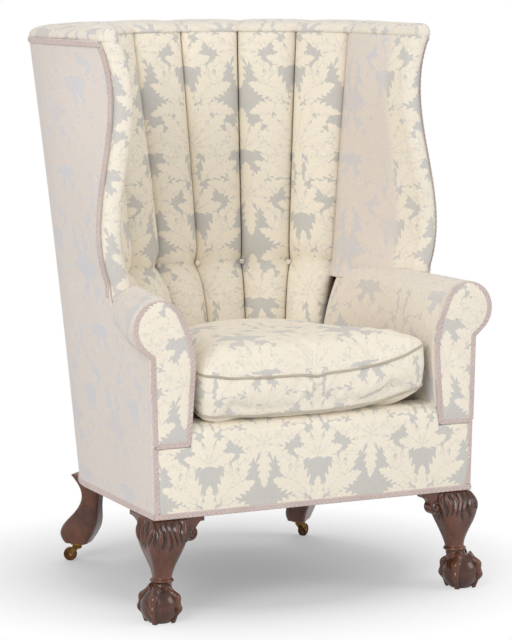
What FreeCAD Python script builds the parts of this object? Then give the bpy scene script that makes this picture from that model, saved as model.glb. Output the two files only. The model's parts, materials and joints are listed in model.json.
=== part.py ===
import FreeCAD, Part
import math
import os
from FreeCAD import Placement, Rotation, Vector

# Barrel-backed tub chair with wings, rolled arms, claw-and-ball front legs and castors behind.
# Modelled with X across the seat, front towards -Y, Y = 0 on the face of the front border, Z up
# from the floor. At the end every piece is moved along Y so that the box's bottom centre is the origin.

sizes = {
    # outer cover, three levels: hem, arm and crest
    "hem_height": 200,
    "arm_level": 640,
    "crest_height": 1106,
    "hem_half_width": 335,
    "arm_half_width": 367,
    "crest_half_width": 399,
    "hem_corner_start": 350,
    "arm_corner_start": 379,
    "crest_corner_start": 439,
    "hem_back_depth": 270,
    "arm_back_depth": 294,
    "crest_back_depth": 310,
    "corner_turn": 50,
    "cover_thickness": 5,
    "front_half_width": 350,
    "arm_flare": 8,
    "top_roll_rise": 24,
    # wing edge, seen from the front, foot to tip
    "wing_foot_height": 634,
    "wing_belly_share": 0.235,
    "wing_waist_share": 0.807,
    "wing_foot_x": 360,
    "wing_belly_x": 377,
    "wing_waist_x": 344,
    "wing_tip_x": 369,
    "wing_foot_y": 172,
    "wing_tip_y": 196,
    "wing_roll_width": 44,
    "wing_roll_depth": 70,
    "wing_pad_thickness": 24,
    # inside of the tub: circles through the seams at the deck, button and crest levels
    "deck_seam_radius": 240,
    "button_seam_radius": 297,
    "crest_seam_radius": 325,
    "deck_seam_centre": 236,
    "button_seam_centre": 234,
    "crest_seam_centre": 290,
    "tub_flare": 2.2,
    "button_level": 622,
    "deck_flute_angle": 18.8,
    "button_flute_angle": 18.4,
    "crest_flute_angle": 21.6,
    "flute_foot": 388,
    "flute_depth": 36,
    "seam_gap": 0.8,
    "flute_crown": 20,
    "flute_crown_low": 16,
    "flute_crown_crest": 13,
    "flute_crown_pinch": 5,
    "pinch_reach": 66,
    "button_radius": 9,
    "button_height": 6,
    "button_stand": 1.2,
    # arms
    "arm_height": 624,
    "arm_roll_radius": 55,
    "arm_roll_x": 339,
    "arm_mid_roll_radius": 48,
    "arm_rear_roll_radius": 40,
    "arm_rear_roll_x": 282,
    "arm_rear_rise": 8,
    "arm_neck_height": 515,
    "arm_inner_x": 264,
    "arm_inner_foot_x": 273,
    "arm_mid_inner_x": 256,
    "arm_rear_inner_x": 207,
    "arm_waist_height": 470,
    "arm_hollow": 8,
    "arm_foot": 345,
    "arm_pad_thickness": 38,
    "arm_rear_y": 371,
    "facing_foot": 338,
    "facing_thickness": 10,
    "facing_proud": 2,
    "gimp_width": 12,
    "gimp_thickness": 3,
    # frame
    "frame_lift": 5,
    "rail_height": 85,
    "rail_thickness": 26,
    "leg_block": 51,
    "block_room": 3,
    "post_width": 44,
    "post_foot_radius": 195,
    "post_top_x": 290,
    "post_top_y": 585,
    "frame_drop": 8,
    "arm_post_inset": 14,
    "arm_post_depth": 30,
    "arm_rail_width": 28,
    "arm_rail_height": 30,
    "arm_rail_level": 556,
    "arm_rail_bow_x": 334,
    "wing_post_width": 20,
    "wing_post_depth": 28,
    "wing_post_y": 212,
    "wing_rail_height": 36,
    "wing_rail_width": 22,
    "wing_rail_room": 22.5,
    "crest_rail_height": 48,
    "crest_rail_width": 28,
    "crest_rail_y": 690,
    "stay_rail_level": 394,
    "stay_rail_height": 40,
    "stay_rail_width": 24,
    "stay_rail_y": 532,
    "corner_block_reach": 52,
    "corner_block_height": 60,
    # front border, deck and suspension
    "border_step": 6,
    "border_roll": 25,
    "border_depth": 70,
    "deck_height": 374,
    "deck_thickness": 30,
    "deck_rear_y": 426,
    "canvas_thickness": 1.5,
    "webbing_width": 50,
    "webbing_thickness": 1.5,
    "webbing_step_x": 113,
    "webbing_step_y": 100,
    "webbing_first_y": 95,
    "webbing_count": 4,
    "dust_cover_thickness": 1.2,
    "dust_cover_inset": 14,
    "spring_radius": 36,
    "spring_wire": 3.6,
    "spring_turns": 4,
    "spring_step_x": 140,
    "spring_step_y": 125,
    "spring_first_y": 135,
    "back_web_angle": 13,
    "back_web_step": 22,
    # loose cushion
    "cushion_half_width": 257,
    "cushion_front_y": -8,
    "cushion_bow": 6,
    "cushion_rear_half_width": 191,
    "cushion_rear_y": 350,
    "cushion_back_y": 454,
    "cushion_room": 1,
    "cushion_heel": 12,
    "cushion_border": 84,
    "cushion_crown": 40,
    "cushion_slope": 150,
    "cushion_draw": 5,
    "cushion_corner": 24,
    "piping_radius": 3.5,
    # front legs
    "foot_x": 335,
    "foot_y": 10,
    "ball_radius": 38,
    "ball_height": 32,
    "ankle_x": 326,
    "ankle_y": 19,
    "ankle_height": 80,
    "ankle_half": 18,
    "knee_x": 323,
    "knee_y": 23,
    "knee_height": 160,
    "knee_half": 41,
    "knee_top_x": 313,
    "knee_top_y": 37,
    "knee_top_half": 36,
    "collar_radius": 3.6,
    "talon_radius": 9.5,
    "talon_tip_radius": 5,
    "talon_sink": 1.5,
    "bracket_length": 58,
    "side_bracket_length": 78,
    "bracket_height": 40,
    "bracket_thickness": 26,
    "bracket_cap": 9,
    "volute_radius": 13,
    # rear legs and castors
    "rear_block_radius": 176,
    "rear_leg_x": 261,
    "rear_leg_y": 502,
    "rear_leg_half": 29,
    "rear_leg_thickness": 46,
    "rear_calf_x": 258,
    "rear_calf_y": 524,
    "rear_calf_height": 112,
    "rear_calf_half": 23,
    "rear_calf_thickness": 38,
    "rear_toe_half": 36,
    "rear_toe_height": 60,
    "rear_toe_thickness": 48,
    "castor_x": 262,
    "castor_y": 580,
    "castor_height": 38,
    "castor_plate_radius": 16,
    "castor_plate_thickness": 3,
    "castor_gap": 0.5,
    "pintle_radius": 4,
    "pintle_head_radius": 5.2,
    "pintle_head": 1.7,
    "running_clearance": 0.06,
    "hub_radius": 7.5,
    "hub_height": 7,
    "castor_trail": 17,
    "wheel_radius": 14,
    "wheel_half_width": 5,
    "wheel_side_gap": 0.5,
    "cheek_thickness": 2.5,
    "cheek_boss": 4.5,
    "axle_radius": 2,
    "left_castor_angle": 153,
    "right_castor_angle": 27,
    # room left between neighbouring pieces
    "fit_gap": 0.5,
}

doc = FreeCAD.newDocument("tub_chair")
sheet = doc.addObject("Spreadsheet::Sheet", "Sizes")
for row, (alias, value) in enumerate(sizes.items(), start=1):
    sheet.set("A%d" % row, alias)
    sheet.set("B%d" % row, str(value))
    sheet.setAlias("B%d" % row, alias)
doc.recompute()


class Reader:
    # Reads a size from the sheet by its alias.
    def __getattr__(self, alias):
        return float(sheet.get(alias))


d = Reader()
subparts = {}
roots = []


def keep(obj, label):
    obj.Label = label
    subparts[label] = obj
    return obj


def feature(label, shape):
    obj = doc.addObject("Part::Feature", label)
    obj.Shape = shape
    roots.append(obj)
    return keep(obj, label)


def mirrored(obj, label):
    twin = doc.addObject("Part::Mirroring", label)
    twin.Source = obj
    twin.Base = Vector(0, 0, 0)
    twin.Normal = Vector(1, 0, 0)
    return keep(twin, label)


def both_sides(stem, shape):
    right = feature(stem + "_right", shape)
    mirrored(right, stem + "_left")
    return right


def pair(label, right):
    # Two alike pieces, one on each side, kept as one node.
    twin = mirrored(right, label + "_twin")
    subparts.pop(twin.Label)
    subparts.pop(right.Label, None)
    couple = doc.addObject("Part::Compound", label)
    couple.Links = [right, twin]
    return keep(couple, label)


def line(a, b):
    return Part.LineSegment(a, b).toShape()


def arc(a, via, b):
    return Part.Arc(a, via, b).toShape()


def closed(edges):
    return Part.Wire(Part.__sortEdges__(edges))


def polygon(points):
    return Part.makePolygon(points + points[:1])


def loft(wires, ruled=False):
    return Part.makeLoft(wires, True, ruled)


def flip(v):
    return Vector(-v.x, v.y, v.z)


def polar(x, y, radius, angle, z):
    # Point at an angle from the +Y direction, turning towards +X.
    return Vector(x + radius * math.sin(angle), y + radius * math.cos(angle), z)


def through(z, stations):
    # Polynomial through (height, value) stations.
    total = 0.0
    for i, (zi, value) in enumerate(stations):
        weight = 1.0
        for j, (zj, _) in enumerate(stations):
            if j != i:
                weight *= (z - zj) / (zi - zj)
        total += weight * value
    return total


def between(z, stations):
    # Straight interpolation through (height, value) stations.
    for (z0, v0), (z1, v1) in zip(stations, stations[1:]):
        if z <= z1 or (z1, v1) == stations[-1]:
            return v0 + (v1 - v0) * (z - z0) / (z1 - z0)


# Bodies with a single padded profile
def padded(label, plane, edges, length, start="0", reverse=False):
    body = doc.addObject("PartDesign::Body", label)
    sketch = body.newObject("Sketcher::SketchObject", label + "_sketch")
    support = [f for f in body.Origin.OriginFeatures if f.Role == plane][0]
    sketch.AttachmentSupport = [(support, "")]
    sketch.MapMode = "FlatFace"
    sketch.setExpression("AttachmentOffset.Base.z", start)
    sketch.addGeometry([edge.Curve.trim(*edge.ParameterRange) for edge in edges], False)
    pad = body.newObject("PartDesign::Pad", label + "_pad")
    pad.Profile = sketch
    pad.setExpression("Length", length)
    pad.Reversed = reverse
    body.Tip = pad
    roots.append(body)
    return body


# Outer surface of the chair
hem = d.hem_height
crest = d.crest_height
cover = d.cover_thickness
frame_floor = hem + d.frame_lift
rail_top = frame_floor + d.rail_height
frame_top = crest - d.frame_drop
turn = math.radians(d.corner_turn)


def level(z, stem):
    names = (stem.format("hem"), stem.format("arm"), stem.format("crest"))
    heights = (hem, d.arm_level, crest)
    return through(z, [(h, getattr(d, n)) for h, n in zip(heights, names)])


def back_plan(z):
    # Three-centred arch behind the seat: half width, start of the corner, corner and back radii.
    half = level(z, "{}_half_width")
    start = level(z, "{}_corner_start")
    depth = level(z, "{}_back_depth")
    c, s = math.cos(turn), math.sin(turn)
    det = (1 - c) * (1 - s) - c * s
    corner = (half * (1 - s) - depth * c) / det
    back = ((1 - c) * depth - s * half) / det
    return half, start, depth, corner, back


def arch_edges(z, inset):
    # The arch from the right corner start round the back to the left one.
    half, start, depth, corner, back = back_plan(z)
    cx = half - corner
    r = corner - inset
    p0 = Vector(half - inset, start, z)
    p1 = Vector(cx + r * math.cos(turn / 2), start + r * math.sin(turn / 2), z)
    p2 = Vector(cx + r * math.cos(turn), start + r * math.sin(turn), z)
    p3 = Vector(0, start + depth - inset, z)
    return [arc(p0, p1, p2), arc(p2, p3, flip(p2)), arc(flip(p2), flip(p1), flip(p0))]


def wing_x(z):
    rise = crest - d.wing_foot_height
    stations = [
        (d.wing_foot_height, d.wing_foot_x),
        (d.wing_foot_height + rise * d.wing_belly_share, d.wing_belly_x),
        (d.wing_foot_height + rise * d.wing_waist_share, d.wing_waist_x),
        (crest, d.wing_tip_x),
    ]
    return through(max(z, d.wing_foot_height), stations)


def wing_y(z):
    return between(z, [(d.wing_foot_height, d.wing_foot_y), (crest, d.wing_tip_y)])


def front_x(z):
    # Front corner of the chair, flaring a little up to the neck of the arm.
    return d.front_half_width + d.arm_flare * (z - hem) / (d.arm_neck_height - hem)


def side_x(z, y, edge_x, edge_y):
    # Side of the cover, straight in plan from its front edge to the corner start.
    half, start = back_plan(z)[:2]
    return edge_x + (half - edge_x) * (y - edge_y) / (start - edge_y)


def band(z, edge_x, edge_y, thickness):
    # Plan of a strip along the right side of the cover, from the front edge to the corner start.
    half, start = back_plan(z)[:2]
    a = Vector(edge_x, edge_y, z)
    b = Vector(half, start, z)
    step = Vector(thickness, 0, 0)
    return polygon([a, b, b - step, a - step])


# Inside of the tub
def seam_circle(z):
    # Radius, centre and angle between seams: a bowl below the buttons, a leaning cone above them.
    if z < d.button_level:
        share = (z - d.flute_foot) / (d.button_level - d.flute_foot)
        radius = d.deck_seam_radius + (d.button_seam_radius - d.deck_seam_radius) * share ** d.tub_flare
        centre = d.deck_seam_centre + (d.button_seam_centre - d.deck_seam_centre) * share
        angle = d.deck_flute_angle + (d.button_flute_angle - d.deck_flute_angle) * share
    else:
        share = (z - d.button_level) / (crest - d.button_level)
        radius = d.button_seam_radius + (d.crest_seam_radius - d.button_seam_radius) * share
        centre = d.button_seam_centre + (d.crest_seam_centre - d.button_seam_centre) * share
        angle = d.button_flute_angle + (d.crest_flute_angle - d.button_flute_angle) * share
    return radius, centre, math.radians(angle)


def crown(z):
    # How far a flute swells in front of its seams; the buttons pinch it.
    upper_middle = (d.button_level + crest) / 2
    swell = between(z, [
        (d.flute_foot, d.flute_crown_low), (d.button_level, d.flute_crown_low),
        (upper_middle, d.flute_crown), (crest, d.flute_crown_crest),
    ])
    pinch = max(0, 1 - abs(z - d.button_level) / d.pinch_reach) ** 2
    return swell - (swell - d.flute_crown_pinch) * pinch


def steps(low, high, shares):
    return [low + (high - low) * share for share in shares]


pad_top = crest - 2 * d.fit_gap
upper_foot = d.button_level + d.pinch_reach
upper_levels = steps(upper_foot, crest - d.pinch_reach, (0, 0.25, 0.5, 0.75, 1)) + [pad_top]
flute_low_levels = steps(d.flute_foot, d.button_level, (0, 0.25, 0.5, 0.7, 0.86, 1))
flute_high_levels = steps(d.button_level, upper_foot, (0, 0.35)) + upper_levels
flute_count = 6


def flute_section(z, index):
    radius, centre, step = seam_circle(z)
    gap = d.seam_gap / 2 / radius
    first = (index - flute_count / 2) * step + gap
    last = first + step - 2 * gap
    middle = (first + last) / 2
    lining = radius + d.flute_depth
    front = [polar(0, centre, radius, a, z) for a in (first, last)]
    rear = [polar(0, centre, lining, a, z) for a in (first, last)]
    return Part.Wire([
        arc(front[0], polar(0, centre, radius - crown(z), middle, z), front[1]),
        line(front[1], rear[1]),
        arc(rear[1], polar(0, centre, lining, middle, z), rear[0]),
        line(rear[0], front[0]),
    ])


for index in range(flute_count):
    lower = loft([flute_section(z, index) for z in flute_low_levels])
    upper = loft([flute_section(z, index) for z in flute_high_levels])
    feature("back_flute_%d" % (index + 1), lower.fuse(upper))

# Buttons on the seams, each a low dome on a short shank, pulled into the pinch
button_radius, button_centre, button_step = seam_circle(d.button_level)
dome = Part.makeCylinder(d.button_radius, d.button_height)
dome = dome.makeFillet(d.button_height * 0.6, [dome.Edges[0]])
buttons = []
for index in range(flute_count + 1):
    angle = (index - flute_count / 2) * button_step
    inward = Vector(-math.sin(angle), -math.cos(angle), 0)
    seat = polar(0, button_centre, button_radius - d.button_stand, angle, d.button_level)
    button = dome.copy()
    button.Placement = Placement(seat, Rotation(Vector(0, 0, 1), inward))
    buttons.append(button)
feature("tuft_buttons", Part.makeCompound(buttons))

# Front legs: cabriole leg, ball and four talons, with a square block inside the seat corner
diagonal = math.sqrt(0.5)


def rounded_block(x, y, z, half_length, half_width, radius, angle=0):
    # Rectangle with round corners, its length turned by an angle from the X axis.
    centre = Vector(x, y, z)
    edges = []
    for quarter in range(4):
        spin = Rotation(Vector(0, 0, 1), 90 * quarter + angle)
        u, v = (half_length, half_width) if quarter % 2 == 0 else (half_width, half_length)
        bulge = radius * (1 - diagonal)
        a = centre + spin.multVec(Vector(u, radius - v, 0))
        b = centre + spin.multVec(Vector(u, v - radius, 0))
        c = centre + spin.multVec(Vector(u - bulge, v - bulge, 0))
        e = centre + spin.multVec(Vector(u - radius, v, 0))
        edges += [line(a, b), arc(b, c, e)]
    return Part.Wire(edges)


ankle_low = (d.ankle_height + d.ball_height) / 2
calf = (d.knee_height + d.ankle_height) / 2
calf_half = 0.42 * d.knee_half + 0.58 * d.ankle_half
leg_stations = [
    (d.knee_top_x, d.knee_top_y, hem - d.fit_gap, d.knee_top_half, 0.4),
    (d.knee_x, d.knee_y, d.knee_height, d.knee_half, 0.5),
    ((d.knee_x + d.ankle_x) / 2, (d.knee_y + d.ankle_y) / 2, calf, calf_half, 0.6),
    (d.ankle_x, d.ankle_y, d.ankle_height, d.ankle_half, 0.9),
    ((d.ankle_x + d.foot_x) / 2, (d.ankle_y + d.foot_y) / 2, ankle_low, d.ankle_half * 1.35, 0.9),
]
cabriole = loft([rounded_block(x, y, z, h, h, h * r) for x, y, z, h, r in leg_stations])
foot = Vector(d.foot_x, d.foot_y, d.ball_height)
ball = Part.makeSphere(d.ball_radius, foot)
collar = Part.makeTorus(d.ankle_half, d.collar_radius, Vector(d.ankle_x, d.ankle_y, d.ankle_height))
block_outer_x = d.front_half_width - cover - d.block_room
block_front_y = cover + 2
block = Part.makeBox(
    d.leg_block, d.leg_block, rail_top - hem + 2,
    Vector(block_outer_x - d.leg_block, block_front_y, hem - 2),
)


def talon(angle):
    # Claw from the ankle down over the ball, thick at its two knuckles.
    out = Vector(math.cos(angle), math.sin(angle), 0)
    reach = d.ball_radius - d.talon_sink
    start, stop = math.radians(66), math.radians(-50)
    rings = []
    for k in range(6):
        share = k / 5
        lift = start + (stop - start) * share
        radial = Vector(out.x * math.cos(lift), out.y * math.cos(lift), math.sin(lift))
        along = Vector(out.x * math.sin(lift), out.y * math.sin(lift), -math.cos(lift))
        knuckle = 1 + 0.16 * math.cos(4 * math.pi * share)
        thick = (d.talon_radius + (d.talon_tip_radius - d.talon_radius) * share) * knuckle
        rings.append(Part.Wire([Part.makeCircle(thick, foot + radial * reach, along)]))
    return loft(rings)


claws = [talon(math.radians(-45 + 90 * k)) for k in range(4)]
front_leg = cabriole.multiFuse([ball, collar, block] + claws)
room = 4 * d.leg_block
above_floor = Part.makeBox(2 * room, 2 * room, rail_top, Vector(d.foot_x - room, d.foot_y - room, 0))
front_leg = front_leg.common(above_floor)
both_sides("front_leg", front_leg)


# Knee brackets: scrolled ears glued under the rails on both sides of each front leg
def bracket_face(length, to_point):
    # Profile in (run from the leg, height): flat top, capped end, volute, hollow back to the knee.
    top = hem - d.fit_gap
    cap = top - d.bracket_cap
    volute = d.volute_radius
    low = top - d.bracket_height
    p = [
        to_point(0, top), to_point(length, top), to_point(length, cap),
        to_point(length - volute * 0.4, cap),
        to_point(length - volute * 0.9, cap - volute * 1.7),
        to_point(length - volute * 1.9, cap - volute * 1.1),
        to_point(0, low),
    ]
    roll = arc(p[3], to_point(length + volute * 0.1, cap - volute), p[4])
    under = arc(p[4], to_point(length - volute * 1.6, cap - volute * 1.75), p[5])
    hollow = arc(p[5], to_point(length * 0.28, low + d.bracket_height * 0.28), p[6])
    edges = [line(p[0], p[1]), line(p[1], p[2]), line(p[2], p[3]), roll, under, hollow, line(p[6], p[0])]
    return Part.Face(Part.Wire(edges))


bracket_face_y = block_front_y - cover
bracket_face_x = block_outer_x + cover
front_run = d.knee_x - d.knee_half * 0.55
side_run = d.knee_y + d.knee_half * 0.55
front_ear = bracket_face(d.bracket_length, lambda run, z: Vector(front_run - run, bracket_face_y, z))
front_ear = front_ear.extrude(Vector(0, d.bracket_thickness, 0))
side_ear = bracket_face(d.side_bracket_length, lambda run, z: Vector(bracket_face_x, side_run + run, z))
side_ear = side_ear.extrude(Vector(-d.bracket_thickness, 0, 0))
ears = Part.makeCompound([front_ear.cut(front_leg), side_ear.cut(front_leg)])
pair("knee_brackets", feature("knee_bracket_set", ears))

# Rear legs: outswept, with a block inside the rear rail
hem_half, hem_start, hem_depth, hem_corner, hem_back = back_plan(hem)
corner_x = hem_half - hem_corner
lean = math.radians(49)


def rear_corner(radius):
    return corner_x + radius * math.sin(lean), hem_start + radius * math.cos(lean)


block_x, block_y = rear_corner(d.rear_block_radius)
post_half = d.post_width / 2
toe_x, toe_y = d.castor_x, d.castor_y
splay = 45
rear_sections = [
    (d.rear_leg_x, d.rear_leg_y, hem - d.fit_gap, d.rear_leg_half, d.rear_leg_thickness / 2),
    (d.rear_calf_x, d.rear_calf_y, d.rear_calf_height, d.rear_calf_half, d.rear_calf_thickness / 2),
    (toe_x, toe_y - d.castor_plate_radius / 3, d.rear_toe_height, d.rear_toe_half, d.rear_toe_thickness / 2),
    (toe_x, toe_y, d.castor_height, d.castor_plate_radius + 8, d.castor_plate_radius + 3),
]
rear_leg = loft([rounded_block(x, y, z, u, v, v * 0.35, splay) for x, y, z, u, v in rear_sections])
rear_block = loft([
    rounded_block(block_x, block_y, z, post_half, post_half, 2, splay) for z in (hem - 2, rail_top)
])
rear_leg = rear_leg.fuse(rear_block)
both_sides("rear_leg", rear_leg)

# Seat frame
front_rail = doc.addObject("Part::Box", "front_seat_rail")
block_inner = "Sizes.front_half_width - Sizes.cover_thickness - Sizes.block_room - Sizes.leg_block"
front_rail.setExpression("Length", "2 * (%s)" % block_inner)
front_rail.setExpression("Width", "Sizes.rail_thickness")
front_rail.setExpression("Height", "Sizes.rail_height")
front_rail.Placement = Placement(
    Vector(d.leg_block - block_outer_x, cover + 1, frame_floor), Rotation(),
)
roots.append(front_rail)
keep(front_rail, "front_seat_rail")

rail_room = cover + 1
rail_front_y = block_front_y + d.leg_block
half, start = hem_half, hem_start
a = Vector(side_x(hem, rail_front_y, d.front_half_width, 0) - rail_room, rail_front_y, 0)
b = Vector(half - rail_room, start, 0)
thick = Vector(d.rail_thickness, 0, 0)
side_edges = [line(a, b), line(b, b - thick), line(b - thick, a - thick), line(a - thick, a)]
frame_start = "Sizes.hem_height + Sizes.frame_lift"
side_rail = padded("seat_rail_right", "XY_Plane", side_edges, "Sizes.rail_height", frame_start)
keep(side_rail, "seat_rail_right")
mirrored(side_rail, "seat_rail_left")


def flat_arch(inset, width):
    # Plan of a bent rail that follows the arch at the hem.
    outer = arch_edges(hem, inset)
    inner = arch_edges(hem, inset + width)
    down = Placement(Vector(0, 0, -hem), Rotation())
    ends = []
    for end in (0, -1):
        tip = 0 if end == 0 else 1
        ends.append(line(outer[end].Vertexes[tip].Point, inner[end].Vertexes[tip].Point))
    edges = [edge.copy() for edge in outer + inner + ends]
    for edge in edges:
        edge.Placement = down
    return [Part.Wire([edge]).Edges[0] for edge in edges]


rear_rail = padded(
    "rear_seat_rail", "XY_Plane", flat_arch(rail_room, d.rail_thickness), "Sizes.rail_height", frame_start,
)
keep(rear_rail, "rear_seat_rail")

reach = d.corner_block_reach
inner_x = block_outer_x - d.leg_block
rail_back = cover + 1 + d.rail_thickness
wall_x = side_x(hem, rail_front_y + reach, d.front_half_width, 0) - rail_room - d.rail_thickness
corner = [
    Vector(inner_x, rail_back, 0), Vector(inner_x, rail_front_y, 0), Vector(wall_x, rail_front_y, 0),
    Vector(wall_x, rail_front_y + reach, 0), Vector(inner_x - reach, rail_back, 0),
]
corner_edges = [line(p, q) for p, q in zip(corner, corner[1:] + corner[:1])]
corner_block = padded(
    "corner_block", "XY_Plane", corner_edges, "Sizes.corner_block_height",
    frame_start + " + Sizes.rail_height - Sizes.corner_block_height",
)
pair("corner_blocks", corner_block)

# Back posts, leaning outwards and back inside the corners of the tub
post_x, post_y = rear_corner(d.post_foot_radius)


def post_centre(z):
    share = (z - rail_top) / (frame_top - rail_top)
    return post_x + (d.post_top_x - post_x) * share, post_y + (d.post_top_y - post_y) * share


back_post = loft([
    rounded_block(*post_centre(z), z, post_half, post_half, 3, splay) for z in (rail_top, frame_top)
], True)
back_post_right = both_sides("back_post", back_post)


# Arm scroll, seen from the front, in (X, Z)
def scroll(inset, foot, at):
    zc = d.arm_height - d.arm_roll_radius
    xc = d.arm_roll_x
    r = d.arm_roll_radius - inset

    def on_roll(degrees):
        return at(xc + r * math.cos(math.radians(degrees)), zc + r * math.sin(math.radians(degrees)))

    heel = at(front_x(foot) - inset, foot)
    neck = at(front_x(d.arm_neck_height) - inset, d.arm_neck_height)
    waist = at(d.arm_inner_x + inset, d.arm_waist_height)
    toe = at(d.arm_inner_foot_x + inset, foot)
    shoulder_x = xc + r * math.cos(math.radians(165))
    shoulder_z = zc + r * math.sin(math.radians(165))
    hollow = at(
        (shoulder_x + d.arm_inner_x + inset) / 2 - d.arm_hollow, (shoulder_z + d.arm_waist_height) / 2,
    )
    return [
        line(heel, neck), line(neck, on_roll(-50)), arc(on_roll(-50), on_roll(20), on_roll(90)),
        arc(on_roll(90), on_roll(128), on_roll(165)), arc(on_roll(165), hollow, waist),
        line(waist, toe), line(toe, heel),
    ]


def upright(x, z):
    # Points of a sketch on the XZ plane.
    return Vector(x, z, 0)


facing_back = d.facing_thickness - d.facing_proud
facing = padded(
    "arm_facing_right", "XZ_Plane", scroll(0, d.facing_foot, upright), "Sizes.facing_thickness",
    "Sizes.facing_proud", True,
)
keep(facing, "arm_facing_right")
mirrored(facing, "arm_facing_left")

arm_post = padded(
    "arm_post_right", "XZ_Plane", scroll(d.arm_post_inset, rail_top, upright), "Sizes.arm_post_depth",
    "Sizes.facing_proud - Sizes.facing_thickness - Sizes.fit_gap", True,
)
keep(arm_post, "arm_post_right")
mirrored(arm_post, "arm_post_left")

# Gimp round the facing, with a run down the front corner to the hem
def on_facing(x, z):
    return Vector(x, -d.facing_proud, z)


edging = Part.Face(Part.Wire(scroll(0, d.facing_foot, on_facing)))
edging = edging.cut(Part.Face(Part.Wire(scroll(d.gimp_width, d.facing_foot + d.gimp_width, on_facing))))
edging = edging.extrude(Vector(0, -d.gimp_thickness, 0))
corner_run = Part.makeBox(
    d.gimp_width, d.facing_proud + d.gimp_thickness - d.fit_gap, d.facing_foot - hem - d.gimp_width,
    Vector(d.front_half_width - d.gimp_width, -d.facing_proud - d.gimp_thickness, hem + d.gimp_width),
)
pair("facing_gimp", feature("facing_gimp_strip", edging.fuse(corner_run)))


# Curved rails between the posts: a bow in plan, sawn to a thickness, shouldered against the posts
def bow(start_point, via, end_point, width):
    centre = arc(start_point, via, end_point).Curve.Center
    outer, inner = [], []
    for p in (start_point, via, end_point):
        ray = Vector(p.x - centre.x, p.y - centre.y, 0).normalize()
        outer.append(p + ray * (width / 2))
        inner.append(p - ray * (width / 2))
    return [
        arc(*outer), line(outer[2], inner[2]), arc(inner[2], inner[1], inner[0]), line(inner[0], outer[0]),
    ]


def shouldered(label, body, tool):
    cut = doc.addObject("Part::Cut", label)
    cut.Base = body
    cut.Tool = tool
    return keep(cut, label)


arm_post_back = facing_back + d.fit_gap + d.arm_post_depth
arm_rail_mid = d.arm_rail_level + d.arm_rail_height / 2
arm_rail_end = Vector(*post_centre(arm_rail_mid), 0)
arm_rail_edges = bow(
    Vector(d.arm_roll_x - 1, arm_post_back - 2, 0),
    Vector(d.arm_rail_bow_x, (d.wing_post_y + arm_post_back) / 2 + 70, 0),
    arm_rail_end, d.arm_rail_width,
)
arm_rail_body = padded(
    "arm_rail_blank", "XY_Plane", arm_rail_edges, "Sizes.arm_rail_height", "Sizes.arm_rail_level",
)
arm_rail_at_back = doc.addObject("Part::Cut", "arm_rail_at_back")
arm_rail_at_back.Base = arm_rail_body
arm_rail_at_back.Tool = back_post_right
arm_rail = shouldered("arm_rail_right", arm_rail_at_back, arm_post)
mirrored(arm_rail, "arm_rail_left")

wing_rail_level = frame_top - d.wing_rail_height
wing_inset = d.wing_roll_width / 2
wing_bow_y = (d.wing_post_y + d.post_top_y) / 2
wing_edge_y = wing_y(wing_rail_level) + d.wing_roll_width / 3
wing_side_x = side_x(wing_rail_level, wing_bow_y, wing_x(wing_rail_level), wing_edge_y)
wing_bow_x = wing_side_x - cover - d.wing_rail_width / 2 - d.wing_rail_room
wing_rail_edges = bow(
    Vector(wing_x(wing_rail_level) - wing_inset, d.wing_post_y, 0),
    Vector(wing_bow_x, wing_bow_y, 0),
    Vector(*post_centre(wing_rail_level), 0), d.wing_rail_width,
)
wing_rail_body = padded(
    "wing_rail_blank", "XY_Plane", wing_rail_edges, "Sizes.wing_rail_height",
    "Sizes.crest_height - Sizes.frame_drop - Sizes.wing_rail_height",
)
wing_rail = shouldered("wing_rail", wing_rail_body, back_post_right)
pair("wing_rails", wing_rail)

posts = doc.addObject("Part::Fuse", "both_posts")
posts.Base = back_post_right
posts.Tool = subparts["back_post_left"]


def cross_rail(label, z, middle_y, width, height, start):
    x, y = post_centre(z)
    edges = bow(Vector(x, y, 0), Vector(0, middle_y, 0), Vector(-x, y, 0), width)
    body = padded(label + "_blank", "XY_Plane", edges, height, start)
    return shouldered(label, body, posts)


cross_rail(
    "crest_rail", frame_top - d.crest_rail_height / 2, d.crest_rail_y, d.crest_rail_width,
    "Sizes.crest_rail_height", "Sizes.crest_height - Sizes.frame_drop - Sizes.crest_rail_height",
)
cross_rail(
    "stay_rail", d.stay_rail_level + d.stay_rail_height / 2, d.stay_rail_y, d.stay_rail_width,
    "Sizes.stay_rail_height", "Sizes.stay_rail_level",
)


# Wing posts, sawn to the S of the wing edge, standing on the arm rails
def wing_post_section(z):
    x = wing_x(z) - wing_inset
    half = d.wing_post_width / 2
    y = d.wing_post_y
    return polygon([
        Vector(x - half, y, z), Vector(x + half, y, z),
        Vector(x + half, y + d.wing_post_depth, z), Vector(x - half, y + d.wing_post_depth, z),
    ])


arm_rail_top = d.arm_rail_level + d.arm_rail_height
post_levels = [arm_rail_top, d.wing_foot_height] + upper_levels[:-2] + [wing_rail_level]
wing_post = loft([wing_post_section(z) for z in post_levels])
wing_post_right = feature("wing_post", wing_post)
pair("wing_posts", wing_post_right)


doc.recompute()

# Arm pads: the roll and the inside of the arm in one, narrowing to the back
roll_under = math.radians(-60)
roll_in = math.radians(165)


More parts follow.
